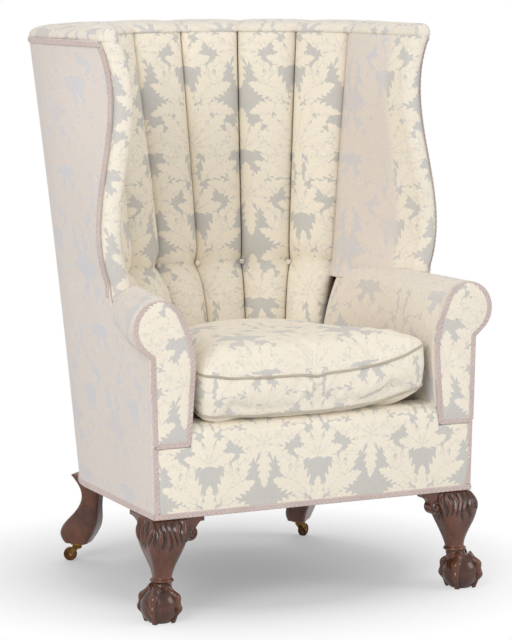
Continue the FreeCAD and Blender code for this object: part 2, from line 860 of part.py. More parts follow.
def arm_section(y, centre_x, top, radius, waist_x, foot_x):
    zc = top - radius

    def on_roll(angle):
        return Vector(centre_x + radius * math.cos(angle), y, zc + radius * math.sin(angle))

    shoulder, under = on_roll(roll_in), on_roll(roll_under)
    waist = Vector(waist_x, y, d.arm_waist_height)
    toe = Vector(foot_x, y, d.arm_foot)
    hollow = Vector((shoulder.x + waist.x) / 2 - d.arm_hollow, y, (shoulder.z + waist.z) / 2)
    thick = Vector(d.arm_pad_thickness, 0, 0)
    inside = Vector(waist.x + thick.x, y, under.z)
    return Part.Wire([
        line(toe, waist), arc(waist, hollow, shoulder),
        arc(shoulder, on_roll(math.radians(128)), on_roll(math.pi / 2)),
        arc(on_roll(math.pi / 2), on_roll(math.pi / 4), on_roll(0)),
        arc(on_roll(0), on_roll(roll_under / 2), under),
        line(under, inside), line(inside, toe + thick), line(toe + thick, toe),
    ])


arm_front_y = facing_back + d.fit_gap
arm_mid_y = d.wing_foot_y
arm_mid_half = d.arm_mid_roll_radius
wing_reach = side_x(d.wing_foot_height, d.wing_foot_y, d.wing_foot_x, d.wing_foot_y)
mid_roll_x = wing_reach - cover - arm_mid_half
arm_sections = [
    arm_section(
        arm_front_y, d.arm_roll_x, d.arm_height, d.arm_roll_radius, d.arm_inner_x, d.arm_inner_foot_x,
    ),
    arm_section(
        arm_mid_y, mid_roll_x, d.arm_height + d.arm_rear_rise / 2, d.arm_mid_roll_radius,
        d.arm_mid_inner_x, d.arm_mid_inner_x,
    ),
    arm_section(
        d.arm_rear_y, d.arm_rear_roll_x, d.arm_height + d.arm_rear_rise, d.arm_rear_roll_radius,
        d.arm_rear_inner_x, d.arm_rear_inner_x,
    ),
]
arm_pad = loft(arm_sections)
for wood in (arm_post, arm_rail, wing_post_right):
    arm_pad = arm_pad.cut(wood.Shape)
arm_pad = max(arm_pad.Solids, key=lambda solid: solid.Volume)
both_sides("arm_pad", arm_pad)


# Wing pads: a roll round the wing post and a thinner pad back to the last seam
def wing_section(z):
    radius, centre, step = seam_circle(z)
    edge_x, edge_y = wing_x(z), wing_y(z)
    half, start = back_plan(z)[:2]
    last = flute_count / 2 * step + 2 * d.seam_gap / radius
    seam = polar(0, centre, radius, last, z)
    seam_back = polar(0, centre, radius + d.wing_pad_thickness, last, z)
    nose = d.wing_roll_width / 3
    inner = Vector(edge_x - d.wing_roll_width, edge_y + nose, z)
    tip = Vector(edge_x - d.wing_roll_width / 2, edge_y - d.fit_gap, z)
    outer = Vector(edge_x - cover - d.fit_gap, edge_y + nose, z)
    back_y = edge_y + d.wing_roll_depth
    outer_back = Vector(side_x(z, back_y, edge_x, edge_y + nose) - cover - d.fit_gap, back_y, z)
    share = (back_y - inner.y) / (seam.y - inner.y)
    inner_back = Vector(inner.x + (seam.x - inner.x) * share + d.wing_pad_thickness, back_y, z)
    swell = (inner + seam) * 0.5 - Vector(d.flute_crown / 3, 0, 0)
    return Part.Wire([
        arc(seam, swell, inner), arc(inner, tip, outer), line(outer, outer_back),
        line(outer_back, inner_back), line(inner_back, seam_back), line(seam_back, seam),
    ])


pad_foot = d.arm_height + d.arm_rear_rise + 2 * d.fit_gap
pad_levels = [pad_foot] + [z for z in upper_levels if z > pad_foot + d.gimp_width]
wing_pad = loft([wing_section(z) for z in pad_levels])
for wood in (wing_post_right, wing_rail):
    wing_pad = wing_pad.cut(wood.Shape)
wing_pad = max(wing_pad.Solids, key=lambda solid: solid.Volume)
both_sides("wing_pad", wing_pad)


# Top roll: a horseshoe over the crest, from wing tip to wing tip
def top_section(z, inset):
    radius, centre, step = seam_circle(crest)
    last = flute_count / 2 * step
    seam = polar(0, centre, radius + inset, last, z)
    edge_x, edge_y = wing_x(crest), wing_y(crest)
    nose = d.wing_roll_width / 3
    inner = Vector(edge_x - d.wing_roll_width + inset, edge_y + nose, z)
    tip = Vector(edge_x - d.wing_roll_width / 2, edge_y + inset, z)
    outer = Vector(edge_x - inset, edge_y + nose, z)
    swell = (inner + seam) * 0.5
    swell.x -= d.flute_crown / 3
    arch = [edge.copy() for edge in arch_edges(crest, inset)]
    for edge in arch:
        edge.translate(Vector(0, 0, z - crest))
    corner = arch[0].Vertexes[0].Point
    back = Vector(0, centre + radius + inset, z)
    return Part.Wire(arch + [
        line(flip(corner), flip(outer)), arc(flip(outer), flip(tip), flip(inner)),
        arc(flip(inner), flip(swell), flip(seam)), arc(flip(seam), back, seam), arc(seam, swell, inner),
        arc(inner, tip, outer), line(outer, corner),
    ])


rise = d.top_roll_rise
top_roll = loft([top_section(crest, 1), top_section(crest + 0.6 * rise, 5), top_section(crest + rise, 16)])
feature("top_roll", top_roll)

# Outside covers
cover_levels = [hem, d.arm_waist_height, d.arm_level, (d.arm_level + crest) / 2, pad_top]


def back_section(z):
    outer = arch_edges(z, 0)
    inner = arch_edges(z, cover)
    ends = [
        line(outer[2].Vertexes[1].Point, inner[2].Vertexes[1].Point),
        line(inner[0].Vertexes[0].Point, outer[0].Vertexes[0].Point),
    ]
    inner_back = [
        arc(inner[k].Vertexes[1].Point, inner[k].valueAt(sum(inner[k].ParameterRange) / 2),
            inner[k].Vertexes[0].Point)
        for k in (2, 1, 0)
    ]
    return Part.Wire(outer + [ends[0]] + inner_back + [ends[1]])


feature("outside_back", loft([back_section(z) for z in cover_levels]))


def clear_of_back(wire):
    # The side covers stop short of the back cover by the room for a seam.
    moved = wire.copy()
    moved.translate(Vector(0, -d.fit_gap, 0))
    return moved


arm_cover_top = pad_foot - d.fit_gap
arm_cover_levels = [hem, (hem + arm_cover_top) / 2, arm_cover_top]
arm_cover = loft([
    clear_of_back(band(z, front_x(z), facing_back + 2 * d.fit_gap, cover)) for z in arm_cover_levels
])
arm_cover = arm_cover.cut(arm_pad)
arm_cover = max(arm_cover.Solids, key=lambda solid: solid.Volume)
both_sides("outside_arm", arm_cover)


def wing_cover_section(z):
    y = wing_y(z) + d.wing_roll_width / 3
    return clear_of_back(band(z, wing_x(z), y, cover))


wing_cover = loft([wing_cover_section(z) for z in pad_levels])
both_sides("outside_wing", wing_cover)


# Gimp along the wing edge, the crest and the hem
def wing_gimp_section(z):
    y0 = wing_y(z) + d.wing_roll_width / 3
    y1 = y0 + d.gimp_width
    edge_x, edge_y = wing_x(z), y0
    near = d.fit_gap
    far = d.fit_gap + d.gimp_thickness
    x0 = side_x(z, y0, edge_x, edge_y)
    x1 = side_x(z, y1, edge_x, edge_y)
    return polygon([
        Vector(x0 + near, y0, z), Vector(x1 + near, y1, z), Vector(x1 + far, y1, z), Vector(x0 + far, y0, z),
    ])


strip_top = pad_top - d.gimp_width - d.fit_gap
below_hoop = Part.makeBox(crest, crest, strip_top)
wing_strip = loft([wing_gimp_section(z) for z in pad_levels]).common(below_hoop)
other_strip = wing_strip.mirror(Vector(0, 0, 0), Vector(1, 0, 0))


def hoop(z, edge_x, edge_y, near, far):
    # Plan of a strip round the outside, from the right front edge to the left one.
    outer = arch_edges(z, -far)
    inner = arch_edges(z, -near)
    tips = [Vector(edge_x + off, edge_y, z) for off in (far, near)]
    edges = outer + inner
    edges += [line(tips[0], outer[0].Vertexes[0].Point), line(tips[1], inner[0].Vertexes[0].Point)]
    edges += [line(flip(tips[0]), outer[2].Vertexes[1].Point)]
    edges += [line(flip(tips[1]), inner[2].Vertexes[1].Point)]
    edges += [line(tips[0], tips[1]), line(flip(tips[0]), flip(tips[1]))]
    return Part.Face(closed(edges))


gimp_out = d.fit_gap + d.gimp_thickness
tip_y = wing_y(crest) + d.wing_roll_width / 3
crest_hoop = hoop(pad_top, wing_x(pad_top), tip_y, d.fit_gap, gimp_out)
crest_strip = crest_hoop.extrude(Vector(0, 0, -d.gimp_width))
feature("edge_gimp", Part.makeCompound([wing_strip, other_strip, crest_strip]))
hem_top = hem + d.gimp_width
front_reach = front_x(hem_top) + d.fit_gap
side_hoop = hoop(hem_top, front_x(hem_top), -gimp_out, d.fit_gap, gimp_out)
front_strip = Part.makeBox(
    2 * front_reach, d.gimp_thickness, d.gimp_width, Vector(-front_reach, -gimp_out, hem),
)
hem_gimp = side_hoop.extrude(Vector(0, 0, -d.gimp_width)).fuse(front_strip)
feature("hem_gimp", hem_gimp)

# Front border: a flat face over the rail and a stuffed roll between the arms
border_top = d.deck_height + d.border_step
roll = d.border_roll
border_half = d.arm_inner_x - 2 * d.fit_gap
shelf = rail_top + d.fit_gap
profile = [
    Vector(0, 0, shelf), Vector(0, 0, border_top - roll),
    Vector(0, roll * (1 - diagonal), border_top - roll * (1 - diagonal)),
    Vector(0, roll, border_top), Vector(0, d.border_depth, border_top), Vector(0, d.border_depth, shelf),
]
roll_face = Part.Face(Part.Wire([
    line(profile[0], profile[1]), arc(profile[1], profile[2], profile[3]), line(profile[3], profile[4]),
    line(profile[4], profile[5]), line(profile[5], profile[0]),
]))
roll_face.translate(Vector(-border_half, 0, 0))
edge_roll = roll_face.extrude(Vector(2 * border_half, 0, 0))
front_face = Part.makeBox(
    2 * d.front_half_width, cover, d.facing_foot - d.fit_gap - hem, Vector(-d.front_half_width, 0, hem),
)
border = edge_roll.fuse(front_face)
feature("front_border", border)


# Seat: webbing, springs, canvas and deck
def slab(x, y, z, length, width, height):
    return Part.makeBox(length, width, height, Vector(x - length / 2, y - width / 2, z))


count = int(d.webbing_count)
lower = frame_floor - 2 * d.webbing_thickness
upper = frame_floor - d.webbing_thickness
strips = []
for k in range(count):
    x = (k - (count - 1) / 2) * d.webbing_step_x
    reach_x = abs(x) + d.webbing_width / 2
    rear_y = hem_start + hem_depth - rail_room - hem_back
    rear_y += math.sqrt((hem_back - rail_room) ** 2 - reach_x ** 2) - d.fit_gap
    front_y = cover + 3
    run = rear_y - front_y
    strips.append(slab(x, front_y + run / 2, upper, d.webbing_width, run, d.webbing_thickness))
    y = d.webbing_first_y + k * d.webbing_step_y
    width = 2 * (side_x(hem, hem_start, d.front_half_width, 0) - rail_room - d.fit_gap)
    if y > hem_start:
        offset = y + d.webbing_width / 2 - hem_start
        width = 2 * (corner_x + math.sqrt((hem_corner - rail_room) ** 2 - offset ** 2))
    strips.append(slab(0, y, lower, width, d.webbing_width, d.webbing_thickness))
webbing = strips[0].multiFuse(strips[1:])
feature("seat_webbing", webbing.removeSplitter())

deck_floor = d.deck_height - d.deck_thickness
canvas_floor = deck_floor - d.canvas_thickness
wire = d.spring_wire / 2
spring_rise = canvas_floor - frame_floor - d.spring_wire - 2 * d.fit_gap
pitch = spring_rise / d.spring_turns


def coil_path():
    # Biarcs of a quarter turn up the coil.
    edges = []
    steps = int(4 * d.spring_turns)
    for k in range(steps):
        points = []
        for share in (0, 0.5, 1):
            angle = (k + share) * math.pi / 2
            points.append(polar(0, 0, d.spring_radius, angle, pitch * (k + share) / 4))
        edges.append(arc(*points))
    return Part.Wire(edges)


coil = coil_path()
per_turn = 24
coil_points = coil.discretize(Number=int(per_turn * d.spring_turns) + 1)
spacing = min(
    (p - q).Length for k, p in enumerate(coil_points) for q in coil_points[k + per_turn // 2:]
)
print("spring: least gap between turns %.2f mm" % (spacing - d.spring_wire))
first_turn = coil.Edges[0]
section = Part.Wire([
    Part.makeCircle(wire, coil.Vertexes[0].Point, first_turn.tangentAt(first_turn.FirstParameter)),
])
spring = coil.makePipeShell([section], True, False)
springs = []
for row in range(3):
    for column in range(3):
        place = spring.copy()
        place.translate(Vector(
            (column - 1) * d.spring_step_x, d.spring_first_y + row * d.spring_step_y,
            frame_floor + wire + d.fit_gap,
        ))
        springs.append(place)
feature("seat_springs", Part.makeCompound(springs))


def deck_face(z, inset):
    front_y = d.border_depth + d.fit_gap + inset
    front_x = d.arm_mid_inner_x - 2 - inset
    rear_x = d.arm_rear_inner_x - 6 - inset
    rear_y = d.arm_rear_y - 6 - inset
    a = Vector(front_x, front_y, z)
    b = Vector(rear_x, rear_y, z)
    side = (a + b) * 0.5 + Vector(10, 0, 0)
    back = Vector(0, d.deck_rear_y - inset, z)
    return Part.Face(Part.Wire([
        line(flip(a), a), arc(a, side, b), arc(b, back, flip(b)), arc(flip(b), flip(side), flip(a)),
    ]))


feature("spring_canvas", deck_face(canvas_floor, 0).extrude(Vector(0, 0, d.canvas_thickness - 0.1)))
feature("seat_deck", deck_face(deck_floor, 0).extrude(Vector(0, 0, d.deck_thickness)))

# Dust cover under the seat, notched round the leg blocks
dust_inset = d.dust_cover_inset
dust_arch = arch_edges(hem, dust_inset)
dust_front = Vector(d.front_half_width - dust_inset, dust_inset, hem)
dust_start = dust_arch[0].Vertexes[0].Point
dust_wire = Part.Wire(dust_arch + [
    line(flip(dust_start), flip(dust_front)), line(flip(dust_front), dust_front),
    line(dust_front, dust_start),
])
dust = Part.Face(dust_wire).extrude(Vector(0, 0, d.dust_cover_thickness))
dust.translate(Vector(0, 0, d.fit_gap / 2))
notch = slab(
    block_outer_x - d.leg_block / 2 + 10, block_front_y + d.leg_block / 2 - 10, hem - 1,
    d.leg_block + 30, d.leg_block + 30, d.frame_lift + 1,
)
rear_tool = slab(block_x, block_y, hem - 1, 2 * d.post_width, 2 * d.post_width, d.frame_lift + 1)
for tool in (notch, rear_tool):
    dust = dust.cut(tool)
    dust = dust.cut(tool.mirror(Vector(0, 0, 0), Vector(1, 0, 0)))
feature("dust_cover", dust)

# Back webbing behind the flutes
web_foot = d.stay_rail_level + d.stay_rail_height
web_head = frame_top - d.crest_rail_height
web_levels = steps(web_foot, d.button_level, (0, 0.2, 0.4, 0.6, 0.8, 1))
web_levels += steps(d.button_level, web_head, (0.25, 0.5, 0.75, 1))


def web_section(z, angle):
    radius, centre, _ = seam_circle(z)
    near = radius + d.flute_depth + d.fit_gap
    far = near + d.webbing_thickness
    half = math.radians(d.back_web_angle) / 2
    spots = [angle - half, angle, angle + half]
    front = [polar(0, centre, near, a, z) for a in spots]
    back = [polar(0, centre, far, a, z) for a in spots]
    return Part.Wire([
        arc(*front), line(front[2], back[2]), arc(back[2], back[1], back[0]), line(back[0], front[0]),
    ])


webs = []
for k in range(5):
    angle = math.radians((k - 2) * d.back_web_step)
    webs.append(loft([web_section(z, angle) for z in web_levels], True))
feature("back_webbing", Part.makeCompound(webs))


# Loose seat cushion: bowed front, drawn-in sides, crowned top
def cushion_outline(z, inset):
    front = Vector(d.cushion_half_width - inset, d.cushion_front_y + inset, z)
    nose = Vector(0, d.cushion_front_y - d.cushion_bow + inset, z)
    rear = Vector(d.cushion_rear_half_width - inset, d.cushion_rear_y - inset * 0.4, z)
    side = (front + rear) * 0.5 + Vector(d.cushion_draw, 0, 0)
    back = Vector(0, d.cushion_back_y - inset, z)
    sharp = Part.Wire([
        arc(flip(front), nose, front), arc(front, side, rear), arc(rear, back, flip(rear)),
        arc(flip(rear), flip(side), flip(front)),
    ])
    blank = Part.Face(sharp).extrude(Vector(0, 0, 1))
    upright_edges = [e for e in blank.Edges if abs(e.tangentAt(e.FirstParameter).z) > 0.9]
    blank = blank.makeFillet(d.cushion_corner, upright_edges)
    return min(blank.Faces, key=lambda f: f.CenterOfMass.z).OuterWire


cushion_floor = border_top + d.cushion_room
welt_low = cushion_floor + d.cushion_heel
welt_high = welt_low + d.cushion_border
cushion_rings = [
    (cushion_floor, 22), (cushion_floor + 5, 8), (welt_low, 3), ((welt_low + welt_high) / 2, 0),
    (welt_high, 3),
]
crown_steps = 6
for k in range(1, crown_steps + 1):
    swing = k / crown_steps * math.pi / 2
    rise_here = d.cushion_crown * math.sin(swing)
    cushion_rings.append((welt_high + rise_here, 3 + d.cushion_slope * (1 - math.cos(swing))))
cushion = loft([cushion_outline(z, inset) for z, inset in cushion_rings], True)
feature("seat_cushion", cushion)


def piping(z):
    # A round cord along the outline: one piece of a ring per arc.
    cords = []
    for edge in cushion_outline(z, 3 - d.piping_radius / 2).Edges:
        first, last = edge.ParameterRange
        bend = arc(*[edge.valueAt(t) for t in (first, (first + last) / 2, last)])
        first, last = bend.ParameterRange
        ring = Part.makeCircle(d.piping_radius, bend.valueAt(first), bend.tangentAt(first))
        disc = Part.Face(Part.Wire([ring]))
        cords.append(disc.revolve(bend.Curve.Center, bend.Curve.Axis, math.degrees(last - first)))
    return cords[0].multiFuse(cords[1:])


feature("cushion_piping", Part.makeCompound([piping(welt_low), piping(welt_high)]))

# Castors: plate with pintle on the leg, horn that swivels, axle and wheel
plate_floor = d.castor_height - d.castor_plate_thickness
hub_top = plate_floor - d.castor_gap
hub_floor = hub_top - d.hub_height
head_top = hub_floor - d.castor_gap
up = Vector(0, 0, 1)
inner_cheek = d.wheel_half_width + d.wheel_side_gap
outer_cheek = inner_cheek + d.cheek_thickness


def castor(side, sign, angle):
    swivel = Vector(sign * d.castor_x, d.castor_y, 0)
    spin = Placement(swivel, Rotation(up, angle))
    plate = Part.makeCylinder(d.castor_plate_radius, d.castor_plate_thickness, Vector(0, 0, plate_floor))
    pintle = Part.makeCylinder(d.pintle_radius, plate_floor - head_top + 1, Vector(0, 0, head_top - 0.5))
    head = Part.makeCylinder(d.pintle_head_radius, d.pintle_head, Vector(0, 0, head_top - d.pintle_head))
    plate = plate.fuse(pintle).fuse(head).removeSplitter()
    hub = Part.makeCylinder(d.hub_radius, d.hub_height, Vector(0, 0, hub_floor))
    boss = Vector(d.castor_trail, 0, d.wheel_radius)
    horn = hub
    for lean_side in (-1, 1):
        y = lean_side * (inner_cheek + outer_cheek) / 2
        profile = Part.Face(polygon([
            Vector(-2, y - d.cheek_thickness / 2, hub_top), Vector(-2, y - d.cheek_thickness / 2, hub_floor),
            Vector(boss.x - d.cheek_boss, y - d.cheek_thickness / 2, boss.z),
            Vector(boss.x + d.cheek_boss, y - d.cheek_thickness / 2, boss.z),
            Vector(d.hub_radius + 3, y - d.cheek_thickness / 2, hub_top),
        ]))
        cheek = profile.extrude(Vector(0, d.cheek_thickness, 0))
        end = Part.makeCylinder(
            d.cheek_boss, d.cheek_thickness, Vector(boss.x, y - d.cheek_thickness / 2, boss.z),
            Vector(0, 1, 0),
        )
        horn = horn.fuse(cheek).fuse(end)
    bore_radius = d.pintle_radius + d.running_clearance
    bore = Part.makeCylinder(bore_radius, d.hub_height + 2, Vector(0, 0, hub_floor - 1))
    axle = Part.makeCylinder(
        d.axle_radius, 2 * outer_cheek, Vector(boss.x, -outer_cheek, boss.z), Vector(0, 1, 0),
    )
    horn = horn.cut(bore).cut(axle).removeSplitter()
    tyre = Part.makeCylinder(
        d.wheel_radius, 2 * d.wheel_half_width, Vector(boss.x, -d.wheel_half_width, boss.z), Vector(0, 1, 0),
    )
    tyre = tyre.makeFillet(d.wheel_half_width * 0.3, [e for e in tyre.Edges if e.Closed])
    hole = Part.makeCylinder(
        d.axle_radius + d.running_clearance, 4 * d.wheel_half_width,
        Vector(boss.x, -2 * d.wheel_half_width, boss.z), Vector(0, 1, 0),
    )
    wheel = tyre.cut(hole)
    for name, shape in (("plate", plate), ("horn", horn), ("axle", axle), ("wheel", wheel)):
        moved = shape.copy()
        moved.Placement = spin.multiply(moved.Placement)
        feature("%s_castor_%s" % (side, name), moved)


castor("left", -1, d.left_castor_angle)
castor("right", 1, d.right_castor_angle)
doc.recompute()

# Set the origin at the middle of the box's bottom
box = FreeCAD.BoundBox()
for obj in subparts.values():
    box.add(obj.Shape.optimalBoundingBox(False, False))
shift = Vector(0, -(box.YMin + box.YMax) / 2, 0)
for obj in roots:
    base = obj.Placement
    obj.Placement = Placement(base.Base + shift, base.Rotation)
doc.recompute()

for obj in doc.Objects:
    if "Invalid" in obj.State or "Error" in obj.State:
        raise RuntimeError("failed object: " + obj.Label)
for label, obj in subparts.items():
    if obj.Shape.isNull() or not obj.Shape.isValid():
        raise RuntimeError("bad shape: " + label)

os.makedirs("parts", exist_ok=True)
for label, obj in subparts.items():
    obj.Shape.exportStep("parts/%s.step" % label)
print("moved by %.3f, box %.1f %.1f %.1f" % (shift.y, box.XLength, box.YLength, box.ZMax))
print("nodes", len(subparts))
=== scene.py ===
import json
import math
import bmesh
import bpy
import numpy as np
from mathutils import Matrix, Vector


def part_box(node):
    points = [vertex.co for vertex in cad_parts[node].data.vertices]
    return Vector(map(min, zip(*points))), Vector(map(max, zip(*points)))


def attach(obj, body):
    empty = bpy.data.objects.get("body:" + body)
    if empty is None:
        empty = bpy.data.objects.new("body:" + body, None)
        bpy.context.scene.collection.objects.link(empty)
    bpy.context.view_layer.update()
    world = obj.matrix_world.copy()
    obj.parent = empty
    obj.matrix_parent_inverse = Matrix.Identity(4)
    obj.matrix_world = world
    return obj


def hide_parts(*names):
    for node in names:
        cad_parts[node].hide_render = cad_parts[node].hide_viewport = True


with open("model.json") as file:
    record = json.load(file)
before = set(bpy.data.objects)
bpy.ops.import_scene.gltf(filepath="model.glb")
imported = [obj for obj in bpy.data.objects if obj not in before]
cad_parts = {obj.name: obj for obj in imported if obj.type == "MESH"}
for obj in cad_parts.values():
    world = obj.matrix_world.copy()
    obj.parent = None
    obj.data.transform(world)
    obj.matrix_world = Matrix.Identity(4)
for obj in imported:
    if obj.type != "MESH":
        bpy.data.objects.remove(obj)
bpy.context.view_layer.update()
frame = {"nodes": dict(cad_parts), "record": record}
nodes = frame["nodes"]
scene = bpy.context.scene
scene.view_settings.view_transform = "Standard"
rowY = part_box("front_border")[0].y * 1000  # the face of the front border, mm
weld = 1e-5  # points nearer than this are one, m
sides = (("right", 1), ("left", -1))


# small helpers
def tint(red, green, blue):
    # 0-255 screen colour to a linear one
    c = np.array([red, green, blue]) / 255
    c = np.where(c <= 0.04045, c / 12.92, ((c + 0.055) / 1.055) ** 2.4)
    return (*c, 1.0)


def lerp(a, b, t):
    return a + (b - a) * t


def smooth(x, low, high):
    t = np.clip((x - low) / (high - low), 0, 1)
    return t * t * (3 - 2 * t)


def through(z, heights, values):
    # polynomial through (height, value) stations
    total = 0
    for i, zi in enumerate(heights):
        weight = 1.0
        for j, zj in enumerate(heights):
            if j != i:
                weight = weight * (z - zj) / (zi - zj)
        total = total + weight * values[i]
    return total


def stack(x, y, z):
    return np.stack(np.broadcast_arrays(x, y, z), axis=-1).astype(float)


def pathLength(path):
    # distance of each point of a path from its start
    return np.concatenate([[0], np.cumsum(np.linalg.norm(np.diff(path, axis=0), axis=1))])


def sampled(path, reach, spots):
    # points of a path at the given distances along it
    return np.stack([np.interp(spots, reach, path[:, k]) for k in range(path.shape[1])], 1)


def runLength(points, axis):
    # distance along a grid direction, in metres, from its middle
    step = np.linalg.norm(np.diff(points, axis=axis), axis=-1)
    total = np.concatenate([np.zeros_like(np.take(step, [0], axis)), np.cumsum(step, axis)], axis) / 1000
    return total - np.take(total, [total.shape[axis] // 2], axis)


def newObject(name, mesh):
    piece = bpy.data.objects.new(name, mesh)
    scene.collection.objects.link(piece)
    return piece


def cleanUp(mesh, merge=weld):
    bm = bmesh.new()
    bm.from_mesh(mesh)
    bmesh.ops.remove_doubles(bm, verts=bm.verts, dist=merge)
    bmesh.ops.recalc_face_normals(bm, faces=bm.faces)
    bm.to_mesh(mesh)
    bm.free()


def joined(name, meshes):
    # several grids become one mesh, welded where they meet
    bm = bmesh.new()
    for mesh in meshes:
        bm.from_mesh(mesh)
        bpy.data.meshes.remove(mesh)
    bmesh.ops.remove_doubles(bm, verts=bm.verts, dist=weld)
    bmesh.ops.recalc_face_normals(bm, faces=bm.faces)
    whole = bpy.data.meshes.new(name)
    bm.to_mesh(whole)
    bm.free()
    return whole


def gridMesh(name, points, uv, wrap=False, caps=False, keepFace=None, wearAndShade=0.0):
    # rows x columns of points in bench mm become quads in the row frame, with a UV map in metres
    rows, cols = points.shape[:2]
    i = np.arange(rows - 1)[:, None]
    j = np.arange(cols if wrap else cols - 1)[None, :]
    nxt = (j + 1) % cols
    corners = (i * cols + j, i * cols + nxt, (i + 1) * cols + nxt, (i + 1) * cols + j)
    quads = np.stack(np.broadcast_arrays(*corners), -1).reshape(-1, 4)
    wide = uv.shape[1]
    corners = (i * wide + j, i * wide + j + 1, (i + 1) * wide + j + 1, (i + 1) * wide + j)
    picks = np.stack(np.broadcast_arrays(*corners), -1).reshape(-1, 4)
    place = points.reshape(-1, 3) + np.array([0, rowY, 0])
    fade = np.broadcast_to(wearAndShade, points.shape[:2]).astype(float).ravel()
    if keepFace is not None:
        picks = picks[keepFace.ravel()]
        used, quads = np.unique(quads[keepFace.ravel()], return_inverse=True)
        quads, place, fade = quads.reshape(-1, 4), place[used], fade[used]
    faces = quads.tolist()
    if caps:
        faces += [list(range(cols))[::-1], list(range((rows - 1) * cols, rows * cols))]
    mesh = bpy.data.meshes.new(name)
    mesh.from_pydata((place / 1000).tolist(), [], faces)
    layer = mesh.uv_layers.new(name="cloth")
    flat = np.zeros((len(mesh.loops), 2))
    flat[:picks.size] = uv.reshape(-1, 2)[picks.ravel()]
    layer.data.foreach_set("uv", flat.ravel())
    # wear per point, and painted shade where it stands for shadow, read by the damask
    attribute = mesh.attributes.new("wearAndShade", "FLOAT", "POINT")
    attribute.data.foreach_set("value", fade)
    mesh.polygons.foreach_set("use_smooth", np.ones(len(mesh.polygons), bool))
    mesh.update()
    return mesh


def clothUv(points, wrap=False, u=None, v=None, closing=0.002):
    # u across and v up in metres; a wrapped loop gets one more column, a closing step further on
    u = runLength(points, 1) if u is None else np.broadcast_to(u, points.shape[:2])
    v = points[..., 2] / 1000 if v is None else np.broadcast_to(v, points.shape[:2])
    uv = np.stack([u, v], -1)
    if wrap:
        uv = np.concatenate([uv, uv[:, -1:] + [closing, 0]], 1)
    return uv


def dress(piece, body, slotName, finish, *replaced):
    piece.data.materials.clear()
    piece.data.materials.append(finish)
    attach(piece, body)
    if replaced:
        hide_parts(*replaced)
    return piece


def flip(points):
    return points * np.array([-1, 1, 1])


# shader maths as Python expressions
class Socket:
    def __init__(self, tree, out=None):
        self.tree, self.out = tree, out

    def node(self, kind, settings=None, inputs=None, pick=0):
        made = self.tree.nodes.new(kind)
        for key, value in (settings or {}).items():
            setattr(made, key, value)
        for key, value in (inputs or {}).items():
            if isinstance(value, Socket):
                self.tree.links.new(value.out, made.inputs[key])
            else:
                made.inputs[key].default_value = value
        return Socket(self.tree, made.outputs[pick] if made.outputs else None)

    def maths(self, operation, *values, clamp=False):
        settings = {"operation": operation, "use_clamp": clamp}
        return self.node("ShaderNodeMath", settings, dict(enumerate(values)))

    def __add__(self, other):
        return self.maths("ADD", self, other)

    def __sub__(self, other):
        return self.maths("SUBTRACT", self, other)

    def __rsub__(self, other):
        return self.maths("SUBTRACT", other, self)

    def __mul__(self, other):
        return self.maths("MULTIPLY", self, other)

    def __abs__(self):
        return self.maths("ABSOLUTE", self)

    __radd__ = __add__
    __rmul__ = __mul__

    def sine(self):
        return self.maths("SINE", self)

    def most(self, other):
        return self.maths("MAXIMUM", self, other)

    def least(self, other):
        return self.maths("MINIMUM", self, other)

    def mask(self, soft, middle=0.5):
        # 0 below, 1 above, over a soft width
        return self.maths("MULTIPLY_ADD", self, 1 / soft, middle, clamp=True)

    def mix(self, low, high):
        # colour blend by this value
        return self.node("ShaderNodeMix", {"data_type": "RGBA"}, {0: self, 6: low, 7: high}, pick=2)

    def parts(self):
        split = self.node("ShaderNodeSeparateXYZ", None, {0: self})
        outs = split.out.node.outputs
        return [Socket(self.tree, outs[k]) for k in range(3)]


def startMaterial(name):
    material = bpy.data.materials.new(name)
    material.use_nodes = True
    tree = material.node_tree
    tree.nodes.clear()
    return material, Socket(tree)


def finishMaterial(root, constants, links, height=None, bump=(0.3, 0.0005)):
    # principled shader with constant sockets set directly and baked ones linked
    if height is not None:
        inputs = {"Strength": bump[0], "Distance": bump[1], "Height": height}
        links["Normal"] = root.node("ShaderNodeBump", None, inputs)
    shader = root.node("ShaderNodeBsdfPrincipled", None, {**constants, **links})
    root.node("ShaderNodeOutputMaterial", None, {"Surface": shader})


def noise(root, where, scale, detail=2.0, rough=0.5):
    inputs = {"Vector": where, "Scale": scale, "Detail": detail, "Roughness": rough}
    return root.node("ShaderNodeTexNoise", None, inputs)


